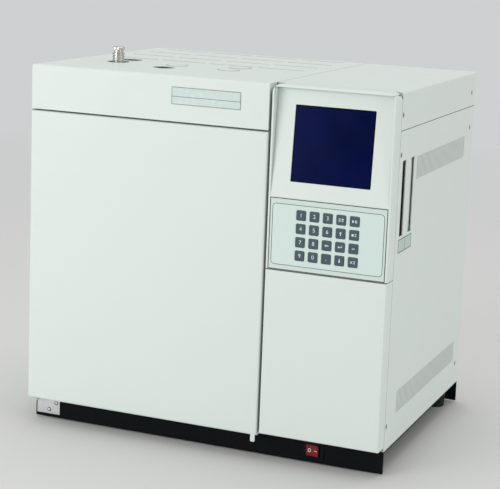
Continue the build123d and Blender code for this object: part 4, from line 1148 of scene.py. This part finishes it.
        # painted shade: a dark sheet stands in for the shade inside each seam
        for name, (near, low, far, high) in strips.items():
            size = (far - near - self.strip_play, high - low - self.strip_play)
            outline = rounded_rectangle(*size, 0.05 * MM, 1)
            seat = Side.RIGHT.seat((self.datum.right - self.strip_sink, (near + far) / 2, (low + high) / 2))
            self.piece(name, plate(outline, self.strip_sheet, 0.02 * MM), seat, PAINTED_SHADE_BLACK)


@dataclass
class OvenDoor(Assembly):
    """The hinged door with its liner, wool and gasket, and the hinge plates that carry it."""

    datum: Datum
    plate_face: float = 2.0 * MM
    screw_places: tuple[Point, ...] = ((-239.8 * MM, 24.8 * MM), (-251.6 * MM, 14.0 * MM))
    screw_radius: float = 2.3 * MM
    screw_crown: Point = (0.9 * MM, 0.6 * MM)
    rim_reach: float = 0.9 * MM
    rim_lap: float = 0.2 * MM

    def build(self) -> None:
        """Dresses the door and adds the hinge plate's screws."""
        self.dress(CASE_PAINT, "door_skin")
        self.dress(STAINLESS, "door_liner")
        self.dress(WOOL, "door_insulation")
        self.dress(GASKET, "door_gasket")
        self.dress(ZINC, "hinge_brackets")
        for index, (x, z) in enumerate(self.screw_places):
            seat = Side.FRONT.seat((x, self.datum.case - self.plate_face, z))
            # painted shade: a dark ring stands in for the shade of each screw's countersink
            rim = ring(circle(self.screw_radius + self.rim_reach), circle(self.screw_radius - self.rim_lap))
            self.piece(f"hinge_screw_rim_{index + 1}", rim, seat, PAINTED_SHADE_BLACK)
            head = cross_head(self.screw_radius, *self.screw_crown)
            self.piece(f"hinge_screw_{index + 1}", head, seat @ Matrix.Rotation(0.5 + index, 4, "Z"), ZINC)


def spoke(angle: float) -> Vector:
    """Gives the direction of an upright wheel's spoke, seen from the front, at an angle from the right."""
    return Vector((math.cos(angle), 0.0, math.sin(angle)))


@dataclass
class Oven(Assembly):
    """The heated chamber: liner, wool, baffle, fan, heater and the wound column."""

    heater_radius: float = 92.0 * MM
    heater_tube: float = 3.4 * MM
    heater_leg_gap: float = 34.0 * MM
    heater_steps: int = 72
    column_radius: float = 80.0 * MM
    column_turns: int = 19
    column_steps: int = 96
    wander: float = 0.25 * MM
    capillary: float = 0.85 * MM
    capillary_sides: int = 8
    bundle: float = 3.9 * MM
    tie_count: int = 6
    tie_bore: float = 4.2 * MM
    tie_radius: float = 4.95 * MM
    tie_half: float = 1.5 * MM
    tail_run: float = 30.0 * MM
    tail_step: float = 12.0 * MM
    nut_drop: float = 6.6 * MM
    nut_size: tuple[float, float, float] = (9.0 * MM, 7.0 * MM, 1.2 * MM)

    def build(self) -> None:
        """Dresses the chamber and winds the heater and the column."""
        self.dress(STAINLESS, "oven_liner", "fan_baffle")
        self.dress(WOOL, "oven_insulation")
        self.dress(ALUMINIUM, "fan_wheel")
        self.dress(MOTOR_ENAMEL, "fan_motor")
        self.add_heater()
        self.add_column()

    def add_heater(self) -> None:
        """Bends the heater's sheath into its ring, with both legs through the back wall."""
        low, high, middle = stand("heater_coil")
        middle.y = low.y + self.heater_tube
        gap = math.asin(self.heater_leg_gap / 2 / self.heater_radius)
        sweep = 2 * math.pi - 2 * gap
        points = []
        for index in range(self.heater_steps + 1):
            angle = gap - math.pi / 2 + sweep * index / self.heater_steps
            points.append(middle + spoke(angle) * self.heater_radius)
        tails = [Vector((0.0, (high.y - middle.y) * share, 0.0)) for share in (1.0, 0.5, 0.04)]
        path = [points[0] + tail for tail in tails] + points + [points[-1] + tail for tail in reversed(tails)]
        sheath = tube("heater_sheath", path, self.heater_tube)
        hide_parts("heater_coil")
        self.mount(sheath, HEATER_STEEL)

    def add_column(self) -> None:
        """Winds the column's turns, ties them, and leads both ends to the port stems."""
        middle = stand("column_coil")[2]
        shape = merged(self.winding(turn) for turn in range(self.column_turns))
        bmesh.ops.recalc_face_normals(shape, faces=shape.faces)
        self.piece("column_winding", shape, Matrix.Translation(middle), AMBER_TUBE, replaces=["column_coil"])
        self.add_ties(middle)
        self.add_tails(middle)

    def winding(self, turn: int) -> Shape:
        """Makes one turn of the column's thin tube, about the column's middle.

        Args:
            turn: Its number; the later turns lie further from the bundle's core.

        Returns:
            A closed mesh.
        """
        golden_angle = math.pi * (3 - math.sqrt(5)) * turn
        away = self.bundle * math.sqrt((turn + 0.5) / self.column_turns)
        radius = self.column_radius + away * math.cos(golden_angle)
        depth = away * math.sin(golden_angle)
        rows = []
        for angle in spread(self.column_steps):
            reach = radius + self.wander * math.sin(3 * angle + turn)
            row = []
            for lean in spread(self.capillary_sides):
                out = spoke(angle) * (reach + self.capillary * math.cos(lean))
                row.append((out.x, depth + self.capillary * math.sin(lean), out.z))
            rows.append(row)
        return loft(rows, closed=True, capped=False)

    def add_ties(self, middle: Vector) -> None:
        """Binds the turns together with wire clips.

        Args:
            middle: The winding's middle.
        """
        corners = ((self.tie_bore, 1), (self.tie_radius, 1), (self.tie_radius, -1), (self.tie_bore, -1))
        tie = surface("column_tie", lathe([(radius, end * self.tie_half) for radius, end in corners], 20))
        for index in range(self.tie_count):
            angle = 2 * math.pi * (index + 0.5) / self.tie_count
            place = Matrix.Translation(middle + spoke(angle) * self.column_radius)
            self.piece(f"column_tie_{index + 1}", tie, place @ Matrix.Rotation(-angle, 4, "Y"), ZINC)

    def add_tails(self, middle: Vector) -> None:
        """Leads the column's ends to the two stems, with a nut on each.

        Args:
            middle: The winding's middle.
        """
        down, forward = Vector((0.0, 0.0, -1.0)), Vector((0.0, -1.0, 0.0))
        for node, name, angle, way in (("injector", "inlet", 2.25, -1), ("detector", "outlet", 1.75, 1)):
            low, _, centre = stand(node)
            stem = Vector((centre.x, centre.y, low.z))
            leave = middle + spoke(angle) * self.column_radius
            along = spoke(angle + math.pi / 2) * self.tail_run
            path = [leave - along * 0.5, leave, leave + along * way * 0.4 + forward * self.tail_step]
            path += [stem + down * self.tail_run, stem + down * self.tail_step, stem]
            self.mount(tube(f"column_{name}_tail", path, self.capillary * 0.8), AMBER_TUBE)
            seat = Matrix.Translation(stem + down * self.nut_drop)
            self.piece(f"column_{name}_nut", hex_nut(*self.nut_size), seat, BRASS)


@dataclass
class Ports(Assembly):
    """The injector with its knurled nut, and the detector beside it."""

    nut_segments: int = 80
    knurl: float = 0.28 * MM
    needle_bore: float = 1.2 * MM

    def build(self) -> None:
        """Dresses the port bodies and turns the septum nut."""
        axis = tuple(stand("injector")[2])[:2]
        nickel = Turned("injector_nickel", "aluminium", (0.56, 0.54, 0.49), 0.20, marks=0.02, axis=axis)
        self.dress(nickel, "injector")
        bright = Turned(
            "detector_metal", "aluminium", (0.72, 0.72, 0.72), 0.3, axis=tuple(stand("detector")[2])[:2]
        )
        self.dress(bright, "detector")
        self.add_nut(axis)

    def add_nut(self, axis: Point) -> None:
        """Turns the nut that holds the septum, with its knurled grip and needle hole.

        Args:
            axis: The injector's axis.
        """
        low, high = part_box("septum_nut")
        height, radius = high.z - low.z, (high.x - low.x) / 2
        neck, waist, grip = radius * 0.82, radius * 0.74, height * 0.5
        profile = [
            (5.1 * MM, 0.0),
            (neck - 0.3 * MM, 0.0),
            (neck, 0.3 * MM),
            (neck, grip - 1.0 * MM),
            (waist, grip - 0.8 * MM),
            (waist, grip),
            (radius - 0.4 * MM, grip),
            (radius, grip + 0.4 * MM),
            (radius, height - 0.6 * MM),
            (radius - 0.7 * MM, height),
            (3.4 * MM, height),
            (1.5 * MM, height - 1.1 * MM),
            (self.needle_bore, height - 2.0 * MM),
            (0.0, height - 2.0 * MM),
        ]
        shape = lathe(profile, self.nut_segments, self.knurl)
        chrome = Turned("nut_nickel", "bright_nut", (0.62, 0.60, 0.55), 0.14, marks=0.008, axis=axis)
        self.piece("knurled_nut", shape, Matrix.Translation((*axis, low.z)), chrome, "nut", ["septum_nut"])


class Mark(Enum):
    """The signs of the keypad's function keys."""

    MENU = "menu"
    START = "start"
    STOP = "stop"
    ENTER = "enter"
    CLEAR = "clear"
    UP = "up"
    DOWN = "down"
    LEFT = "left"
    MINUS = "minus"
    POINT = "point"


def bar(x: float, y: float, width: float, height: float, turn: float = 0.0) -> list[Point]:
    """Gives a bar's outline, in shares of the sign's size.

    Args:
        x: Its middle to the right.
        y: Its middle upwards.
        width: Its size to the right.
        height: Its size upwards.
        turn: Its turn in degrees.

    Returns:
        Its four corners.
    """
    cosine, sine = math.cos(math.radians(turn)), math.sin(math.radians(turn))
    corners = [(width / 2 * a, height / 2 * b) for a, b in ((-1, -1), (1, -1), (1, 1), (-1, 1))]
    return [(x + a * cosine - b * sine, y + a * sine + b * cosine) for a, b in corners]


ARROW = (bar(0.0, -0.2, 0.18, 0.5), [(-0.24, 0.05), (0.24, 0.05), (0.0, 0.48)])
SIGNS: dict[Mark, tuple[list[Point], ...]] = {
    Mark.MENU: (
        *(bar(-0.32, level, 0.46, 0.12) for level in (0.26, 0.0, -0.26)),
        bar(0.34, 0.18, 0.42, 0.26),
        bar(0.34, -0.18, 0.42, 0.16),
    ),
    Mark.START: (
        [(-0.52, -0.34), (-0.02, 0.0), (-0.52, 0.34)],
        *(bar(across, 0.0, 0.13, 0.62) for across in (0.2, 0.44)),
    ),
    Mark.STOP: (
        bar(-0.3, 0.0, 0.46, 0.5),
        *(bar(0.34, level, 0.4, 0.12) for level in (0.24, -0.2)),
        bar(0.3, 0.0, 0.1, 0.5),
    ),
    Mark.ENTER: (
        [(-0.5, 0.0), (-0.16, 0.26), (-0.16, -0.26)],
        bar(0.14, 0.0, 0.62, 0.13),
        bar(0.42, 0.2, 0.13, 0.42),
    ),
    Mark.CLEAR: (
        *(bar(-0.3, 0.0, 0.62, 0.13, turn) for turn in (45, -45)),
        *(bar(0.34, level, 0.42, 0.12) for level in (0.22, -0.22)),
        bar(0.34, 0.0, 0.12, 0.42),
    ),
    Mark.UP: ARROW,
    Mark.DOWN: tuple([(-x, -y) for x, y in shape] for shape in ARROW),
    Mark.LEFT: tuple([(-y, x) for x, y in shape] for shape in ARROW),
    Mark.MINUS: (bar(0.0, 0.0, 0.62, 0.15),),
    Mark.POINT: (bar(0.0, -0.2, 0.16, 0.16),),
}
LEGENDS: tuple[tuple[str | Mark, ...], ...] = (
    ("1", "2", "3", Mark.MENU, Mark.START),
    ("4", "5", "6", Mark.UP, Mark.STOP),
    ("7", "8", Mark.LEFT, Mark.ENTER, Mark.MINUS),
    ("9", "0", Mark.POINT, Mark.DOWN, Mark.CLEAR),
)


@dataclass
class ControlColumn(Assembly):
    """The right-hand front: bezel, display, keypad with its keys, and the lower panel."""

    datum: Datum
    border: Point = (161.5 * MM, 85.5 * MM)
    border_place: Point = (186.75 * MM, 329.25 * MM)
    border_radius: float = 5.5 * MM
    border_line: float = 0.75 * MM
    edge_line: float = 0.9 * MM
    digit: float = 5.6 * MM
    sign: float = 6.6 * MM
    key_pillow: float = 0.12 * MM
    key_corner: float = 1.6 * MM
    display_margin: float = 5.0 * MM

    def build(self) -> None:
        """Dresses the column and prints the keypad."""
        self.dress(CASE_PAINT, "front_bezel", "lower_front_panel")
        low, _, middle = stand("display_module")
        glass = DisplayGlass(
            "display_glass",
            "display_glass",
            (0.0006, 0.0030, 0.036),
            0.14,
            middle=(middle.x, middle.z),
            half=(middle.x - low.x - self.display_margin, middle.z - low.z - self.display_margin),
        )
        self.dress(glass, "display_module")
        film = KeypadFilm(
            "keypad_film",
            "keypad_sheet",
            (0.625, 0.725, 0.69),
            inner=(0.645, 0.765, 0.722),
            middle=self.border_place,
            half=(self.border[0] / 2, self.border[1] / 2),
        )
        self.dress(film, "keypad_panel")
        self.add_border()
        cap = self.key_cap()
        for row, signs in enumerate(LEGENDS):
            for column, sign in enumerate(signs):
                self.add_key(f"key_{row + 1}_{column + 1}", cap, sign)
        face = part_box("key_board")[1].y
        self.dress(Board("key_circuit", "circuit_board", (0.01, 0.10, 0.035), face=face, axis=1), "key_board")

    def add_border(self) -> None:
        """Prints the line around the keys, and lays a dark line along the panel's edge as painted shade of
        the gap round the panel.
        """
        low, high, middle = stand("keypad_panel")
        seat = Side.FRONT.seat((self.border_place[0], low.y, self.border_place[1]))
        radii = (self.border_radius, self.border_radius - self.border_line)
        border = band(self.border, (self.border_line, self.border_line), radii, 8)
        self.piece("keypad_border", border, seat, DARK_INK)
        # painted shade of the gap round the keypad panel
        size = (high.x - low.x, high.z - low.z)
        edge = band(size, (self.edge_line, self.edge_line), (0.3 * MM, 0.1 * MM), 2)
        self.piece("keypad_gap_shade", edge, Side.FRONT.seat((middle.x, low.y, middle.z)), DARK_INK)

    def key_cap(self) -> bpy.types.Mesh:
        """Makes the cap that all the keys share: round corners, soft rim and a low pillow.

        Returns:
            The shared mesh, which stands on the key's back.
        """
        low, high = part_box("key_1_1")
        size, depth = high.x - low.x, high.y - low.y
        levels = (
            (0.0, 0.0),
            (depth - 0.35 * MM, 0.0),
            (depth - self.key_pillow, 0.12 * MM),
            (depth - self.key_pillow * 0.4, 0.5 * MM),
            (depth - self.key_pillow * 0.1, 2.5 * MM),
            (depth, 5.0 * MM),
        )
        rows = []
        for height, inset in levels:
            corner = max(self.key_corner - inset * 0.5, 0.4 * MM)
            rows.append(lifted(rounded_rectangle(size - 2 * inset, size - 2 * inset, corner, 5), height))
        return surface("key_cap", loft(rows), 50.0)

    def add_key(self, node: str, cap: bpy.types.Mesh, sign: str | Mark) -> None:
        """Puts a cap with its legend in place of a plain key.

        Args:
            node: The key's node, which is its body's name too.
            cap: The shared cap.
            sign: A digit, or the sign of a function.
        """
        low, high, middle = stand(node)
        back = Side.FRONT.seat((middle.x, high.y, middle.z))
        self.piece(node + "_cap", cap, back, KEY_FACE, node, [node])
        if isinstance(sign, Mark):
            shape = merged(flat([(x * self.sign, y * self.sign) for x, y in part]) for part in SIGNS[sign])
        else:
            shape = figure(sign, self.digit)
        face = Side.FRONT.seat((middle.x, low.y - INK_LIFT, middle.z))
        self.piece(node + "_legend", shape, face, WHITE_INK, node)


@dataclass
class PowerSwitch(Assembly):
    """The rocker switch in the front apron, with its two printed marks."""

    datum: Datum
    pivot: Point = (172.5 * MM, 3.0 * MM)
    middle_height: float = 19.8 * MM
    half_width: float = 9.6 * MM
    crown: float = 4.9 * MM
    swing: float = 16.0
    mark: Point = (4.4 * MM, 5.4 * MM)
    mark_line: float = 0.8 * MM
    mark_corner: float = 2.1 * MM
    dash: Point = (4.6 * MM, 0.9 * MM)

    def build(self) -> None:
        """Dresses the switch and prints its marks."""
        self.dress(SWITCH_BLACK, "switch_housing")
        self.dress(ROCKER_RED, "power_rocker")
        radii = (self.mark_corner, self.mark_corner - self.mark_line)
        loop = band(self.mark, (self.mark_line, self.mark_line), radii, 8, 0.0)
        self.piece("rocker_off_mark", loop, self.face(-1), WHITE_INK, "rocker")
        dash = rounded_rectangle(*self.dash, 0.1 * MM, 2)
        self.piece("rocker_on_mark", flat(dash), self.face(1), WHITE_INK, "rocker")

    def face(self, side: int) -> Matrix:
        """Gives the seat of a mark on one of the rocker's two slanted faces.

        Args:
            side: -1 for the left face, 1 for the right one.

        Returns:
            A matrix for a flat mark.
        """
        half = math.radians(self.swing / 2)
        pivot = (self.pivot[0], self.datum.case + self.pivot[1], self.middle_height)
        out = self.crown + self.half_width / 2 * math.tan(half) + INK_LIFT
        lean = Matrix.Rotation(-half, 4, "Z") @ Matrix.Translation((side * self.half_width / 2, -out, 0.0))
        slope = Matrix.Rotation(-side * half, 4, "Z")
        return Matrix.Translation(pivot) @ lean @ slope @ Side.FRONT.seat((0, 0, 0))


@dataclass
class FlowMeters(Assembly):
    """The two glass flow tubes behind the side windows, with their backings and scale lines."""

    block_height: float = 18.0 * MM
    block_play: float = 0.2 * MM
    channel_half: float = 7.9 * MM
    channel_wall: float = 0.8 * MM
    channel_back: float = 1.0 * MM
    channel_front: float = 1.8 * MM
    ticks: int = 21
    tick_widths: Point = (3.4 * MM, 2.0 * MM)
    tick_end: float = 6.2 * MM
    tick_line: float = 0.35 * MM
    scale_share: float = 0.86

    def build(self) -> None:
        """Dresses the meters and stands a folded channel around each tube."""
        self.dress(ALUMINIUM, "meter_blocks")
        self.dress(TUBE_GLASS, "flow_tubes")
        self.dress(FLOAT_BLACK, "front_float", "rear_float")
        lower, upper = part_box("meter_blocks")
        block = self.block_height + self.block_play
        levels = (lower.z + block, upper.z - block)
        back = lower.x + self.channel_back
        shape = self.channel(upper.x - self.channel_front - back, levels[1] - levels[0])
        for name, finish in (("front", CHANNEL_BLACK), ("rear", CHANNEL_GREY)):
            seat = Side.TOP.seat((back, stand(f"{name}_float")[2].y, levels[0]))
            self.piece(f"{name}_channel", shape.copy(), seat, finish)
        shape.free()
        self.add_scale((back + self.channel_wall, stand("rear_float")[2].y, sum(levels) / 2), levels)

    def channel(self, depth: float, height: float) -> Shape:
        """Folds a channel that is open to the right.

        Args:
            depth: The depth of its sides.
            height: Its height.

        Returns:
            A closed mesh that stands on its lower end.
        """
        half, wall = self.channel_half, self.channel_wall
        outline = [(0.0, -half), (depth, -half), (depth, wall - half), (wall, wall - half)]
        outline += [(x, -y) for x, y in reversed(outline)]
        return loft([lifted(outline, level) for level in (0.0, height)])

    def add_scale(self, place: Place, levels: Point) -> None:
        """Prints the plain scale lines in the rear tube's channel.

        Args:
            place: The middle of the channel's back.
            levels: The heights of the channel's ends.
        """
        lines = []
        for index in range(self.ticks):
            level = (index / (self.ticks - 1) - 0.5) * (levels[1] - levels[0]) * self.scale_share
            width = self.tick_widths[0 if index % 5 == 0 else 1]
            line = rounded_rectangle(width, self.tick_line, 0.03 * MM, 1)
            lines.append(flat([(x + self.tick_end - width / 2, y + level) for x, y in line], INK_LIFT))
        self.piece("rear_scale", merged(lines), Side.RIGHT.seat(place), DARK_INK)


@dataclass
class Services(Assembly):
    """The rear services: exhaust flap, mains inlet, gas fittings, and the electronics within."""

    pin: tuple[float, float, float] = (2.2 * MM, 4.2 * MM, 16.0 * MM)
    pin_depth: float = 5.2 * MM
    pin_places: tuple[Point, ...] = ((-7 * MM, -1.5 * MM), (0.0, 2.5 * MM), (7 * MM, -1.5 * MM))
    flange_reach: float = 20.0 * MM
    flange_screw: tuple[float, float, float] = (2.8 * MM, 0.9 * MM, 0.7 * MM)
    board_face: float = 10.6 * MM
    winding: float = 16.0 * MM

    def build(self) -> None:
        """Dresses the services and adds the inlet's blades and screws."""
        self.dress(ZINC, "exhaust_flap")
        self.dress(SWITCH_BLACK, "power_inlet")
        self.dress(BRASS, "gas_fittings")
        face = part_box("main_board")[0].x + self.board_face
        self.dress(Board("main_circuit", "circuit_board", (0.01, 0.11, 0.04), face=face), "main_board")
        low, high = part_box("transformer")
        plates = (low.y + self.winding, high.y - self.winding)
        core = WoundCore("transformer_iron", "transformer_iron", (0.10, 0.10, 0.11), plates=plates)
        self.dress(core, "transformer")
        self.add_inlet_trim()

    def add_inlet_trim(self) -> None:
        """Adds the inlet's three blades and its two flange screws."""
        _, high, middle = stand("power_inlet")
        middle.y = high.y
        blade = rounded_rectangle(self.pin[0], self.pin[1], 0.3 * MM, 3)
        for index, (across, up) in enumerate(self.pin_places):
            seat = Side.REAR.seat(middle + Vector((across, -self.pin_depth - self.pin[2], up)))
            self.piece(f"inlet_blade_{index + 1}", plate(blade, self.pin[2], 0.25 * MM), seat, BRASS)
        for index, across in enumerate((-self.flange_reach, self.flange_reach)):
            seat = Side.REAR.seat(middle + Vector((across, 0.0, 0.0))) @ Matrix.Rotation(0.6 + index, 4, "Z")
            self.piece(f"inlet_screw_{index + 1}", cross_head(*self.flange_screw), seat, ZINC)


# ---------------------------------------------------------------- studio
@dataclass
class Studio:
    """Plain floor, soft lamps and the camera."""

    camera_place: tuple[float, float, float] = (0.86088, -2.10783, 0.74225)
    camera_angles: tuple[float, float, float] = (79.8189, -2.4796, 21.1570)
    focal_pixels: float = 1515.64
    image_size: tuple[int, int] = (500, 489)
    principal_point: Point = (300.0, 200.0)
    backdrop: Colour = (0.62, 0.63, 0.635)
    sky: float = 0.67
    floor_colour: Colour = (0.70, 0.70, 0.69)
    floor_reach: float = 9.0
    lamp_target: Place = (0.0, 0.0, 0.28)

    def build(self) -> None:
        """Sets up the whole studio."""
        scene = bpy.context.scene
        scene.view_settings.view_transform = "Standard"
        self.add_camera(scene)
        self.add_world(scene)
        self.add_floor()
        self.add_lamp("key_lamp", (-1.5, -2.35, 0.8), (1.6, 1.2), 26.0)
        self.add_lamp("fill_lamp", (3.0, -0.9, 0.5), (1.8, 0.9), 13.5)
        self.add_lamp("top_lamp", (0.1, 0.4, 3.4), (2.4, 2.4), 27.0)

    def add_camera(self, scene: bpy.types.Scene) -> None:
        """Adds the camera with its lens and shift.

        Args:
            scene: The scene it becomes the camera of.
        """
        data = bpy.data.cameras.new("camera")
        data.sensor_width = 36.0
        data.lens = self.focal_pixels / self.image_size[0] * data.sensor_width
        data.shift_x = (self.image_size[0] / 2 - self.principal_point[0]) / self.image_size[0]
        data.shift_y = (self.principal_point[1] - self.image_size[1] / 2) / self.image_size[0]
        data.clip_end = 60.0
        camera = linked("camera", data)
        camera.location = self.camera_place
        camera.rotation_euler = tuple(math.radians(angle) for angle in self.camera_angles)
        scene.camera = camera

    def add_world(self, scene: bpy.types.Scene) -> None:
        """Adds even light from all round, behind which the camera sees the backdrop's colour.

        Args:
            scene: The scene that it lights.
        """
        world = bpy.data.worlds.new("studio")
        world.use_nodes = True
        tree = world.node_tree
        light = tree.nodes["Background"]
        light.inputs["Color"].default_value = (1.0, 1.0, 1.0, 1.0)
        light.inputs["Strength"].default_value = self.sky
        seen = tree.nodes.new("ShaderNodeBackground")
        seen.inputs["Color"].default_value = (*self.backdrop, 1.0)
        seen.inputs["Strength"].default_value = 1.0
        mix = tree.nodes.new("ShaderNodeMixShader")
        tree.links.new(seen_rays(tree), mix.inputs[0])
        tree.links.new(light.outputs[0], mix.inputs[1])
        tree.links.new(seen.outputs[0], mix.inputs[2])
        tree.links.new(mix.outputs[0], tree.nodes["World Output"].inputs[0])
        scene.world = world

    def add_floor(self) -> None:
        """Adds the floor, which fades into the backdrop's colour far from the object."""
        mesh = bmesh.new()
        bmesh.ops.create_circle(mesh, cap_ends=True, segments=96, radius=self.floor_reach)
        graph = Graph("floor")
        graph.set(Base_Color=self.floor_colour, Roughness=0.85, Specular_IOR_Level=0.1)
        far = graph.add("ShaderNodeVectorMath", {0: graph.place}, operation="LENGTH").outputs["Value"]
        fade = graph.span(far, 0.0, 1.0, 0.7, 3.2)
        glow = graph.add("ShaderNodeEmission", {"Color": self.backdrop, "Strength": 1.0}).outputs[0]
        seen = graph.times(fade, seen_rays(graph.tree))
        mix = graph.add("ShaderNodeMixShader", {0: seen, 1: graph.shader.outputs[0], 2: glow})
        graph.feed(graph.tree.nodes["Material Output"].inputs[0], mix.outputs[0])
        floor = linked("floor", surface("floor", mesh))
        floor.data.materials.append(graph.material)

    def add_lamp(self, name: str, place: Place, size: Point, power: float) -> None:
        """Adds a soft lamp that looks at the object.

        Args:
            name: The lamp's name.
            place: Where it stands.
            size: Its width and height.
            power: Its power in watts.
        """
        data = bpy.data.lights.new(name, "AREA")
        data.shape = "RECTANGLE"
        data.size, data.size_y = size
        data.energy = power
        lamp = linked(name, data)
        aim = Vector(self.lamp_target) - Vector(place)
        lamp.matrix_world = Matrix.Translation(place) @ aim.to_track_quat("-Z", "Y").to_matrix().to_4x4()


def seen_rays(tree: bpy.types.NodeTree) -> Socket:
    """Gives 1 for rays from the camera, a reflection or a glass, and 0 for the light's own.

    Args:
        tree: The node tree to add to.

    Returns:
        The sum's output.
    """
    path = tree.nodes.new("ShaderNodeLightPath")
    total = path.outputs["Is Camera Ray"]
    for name in ("Is Glossy Ray", "Is Transmission Ray"):
        join = tree.nodes.new("ShaderNodeMath")
        join.operation = "MAXIMUM"
        tree.links.new(total, join.inputs[0])
        tree.links.new(path.outputs[name], join.inputs[1])
        total = join.outputs[0]
    return total


def main() -> None:
    """Builds the studio and the sub-assemblies in order."""
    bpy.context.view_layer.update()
    datum = Datum.read()
    Studio().build()
    for part in (
        Cabinet(datum),
        OvenDoor(datum),
        Oven(),
        Ports(),
        ControlColumn(datum),
        PowerSwitch(datum),
        FlowMeters(),
        Services(),
    ):
        log.info("building %s", type(part).__name__)
        part.build()


if __name__ == "__main__":
    logging.basicConfig(level=logging.INFO, format="%(name)s: %(message)s")
    main()
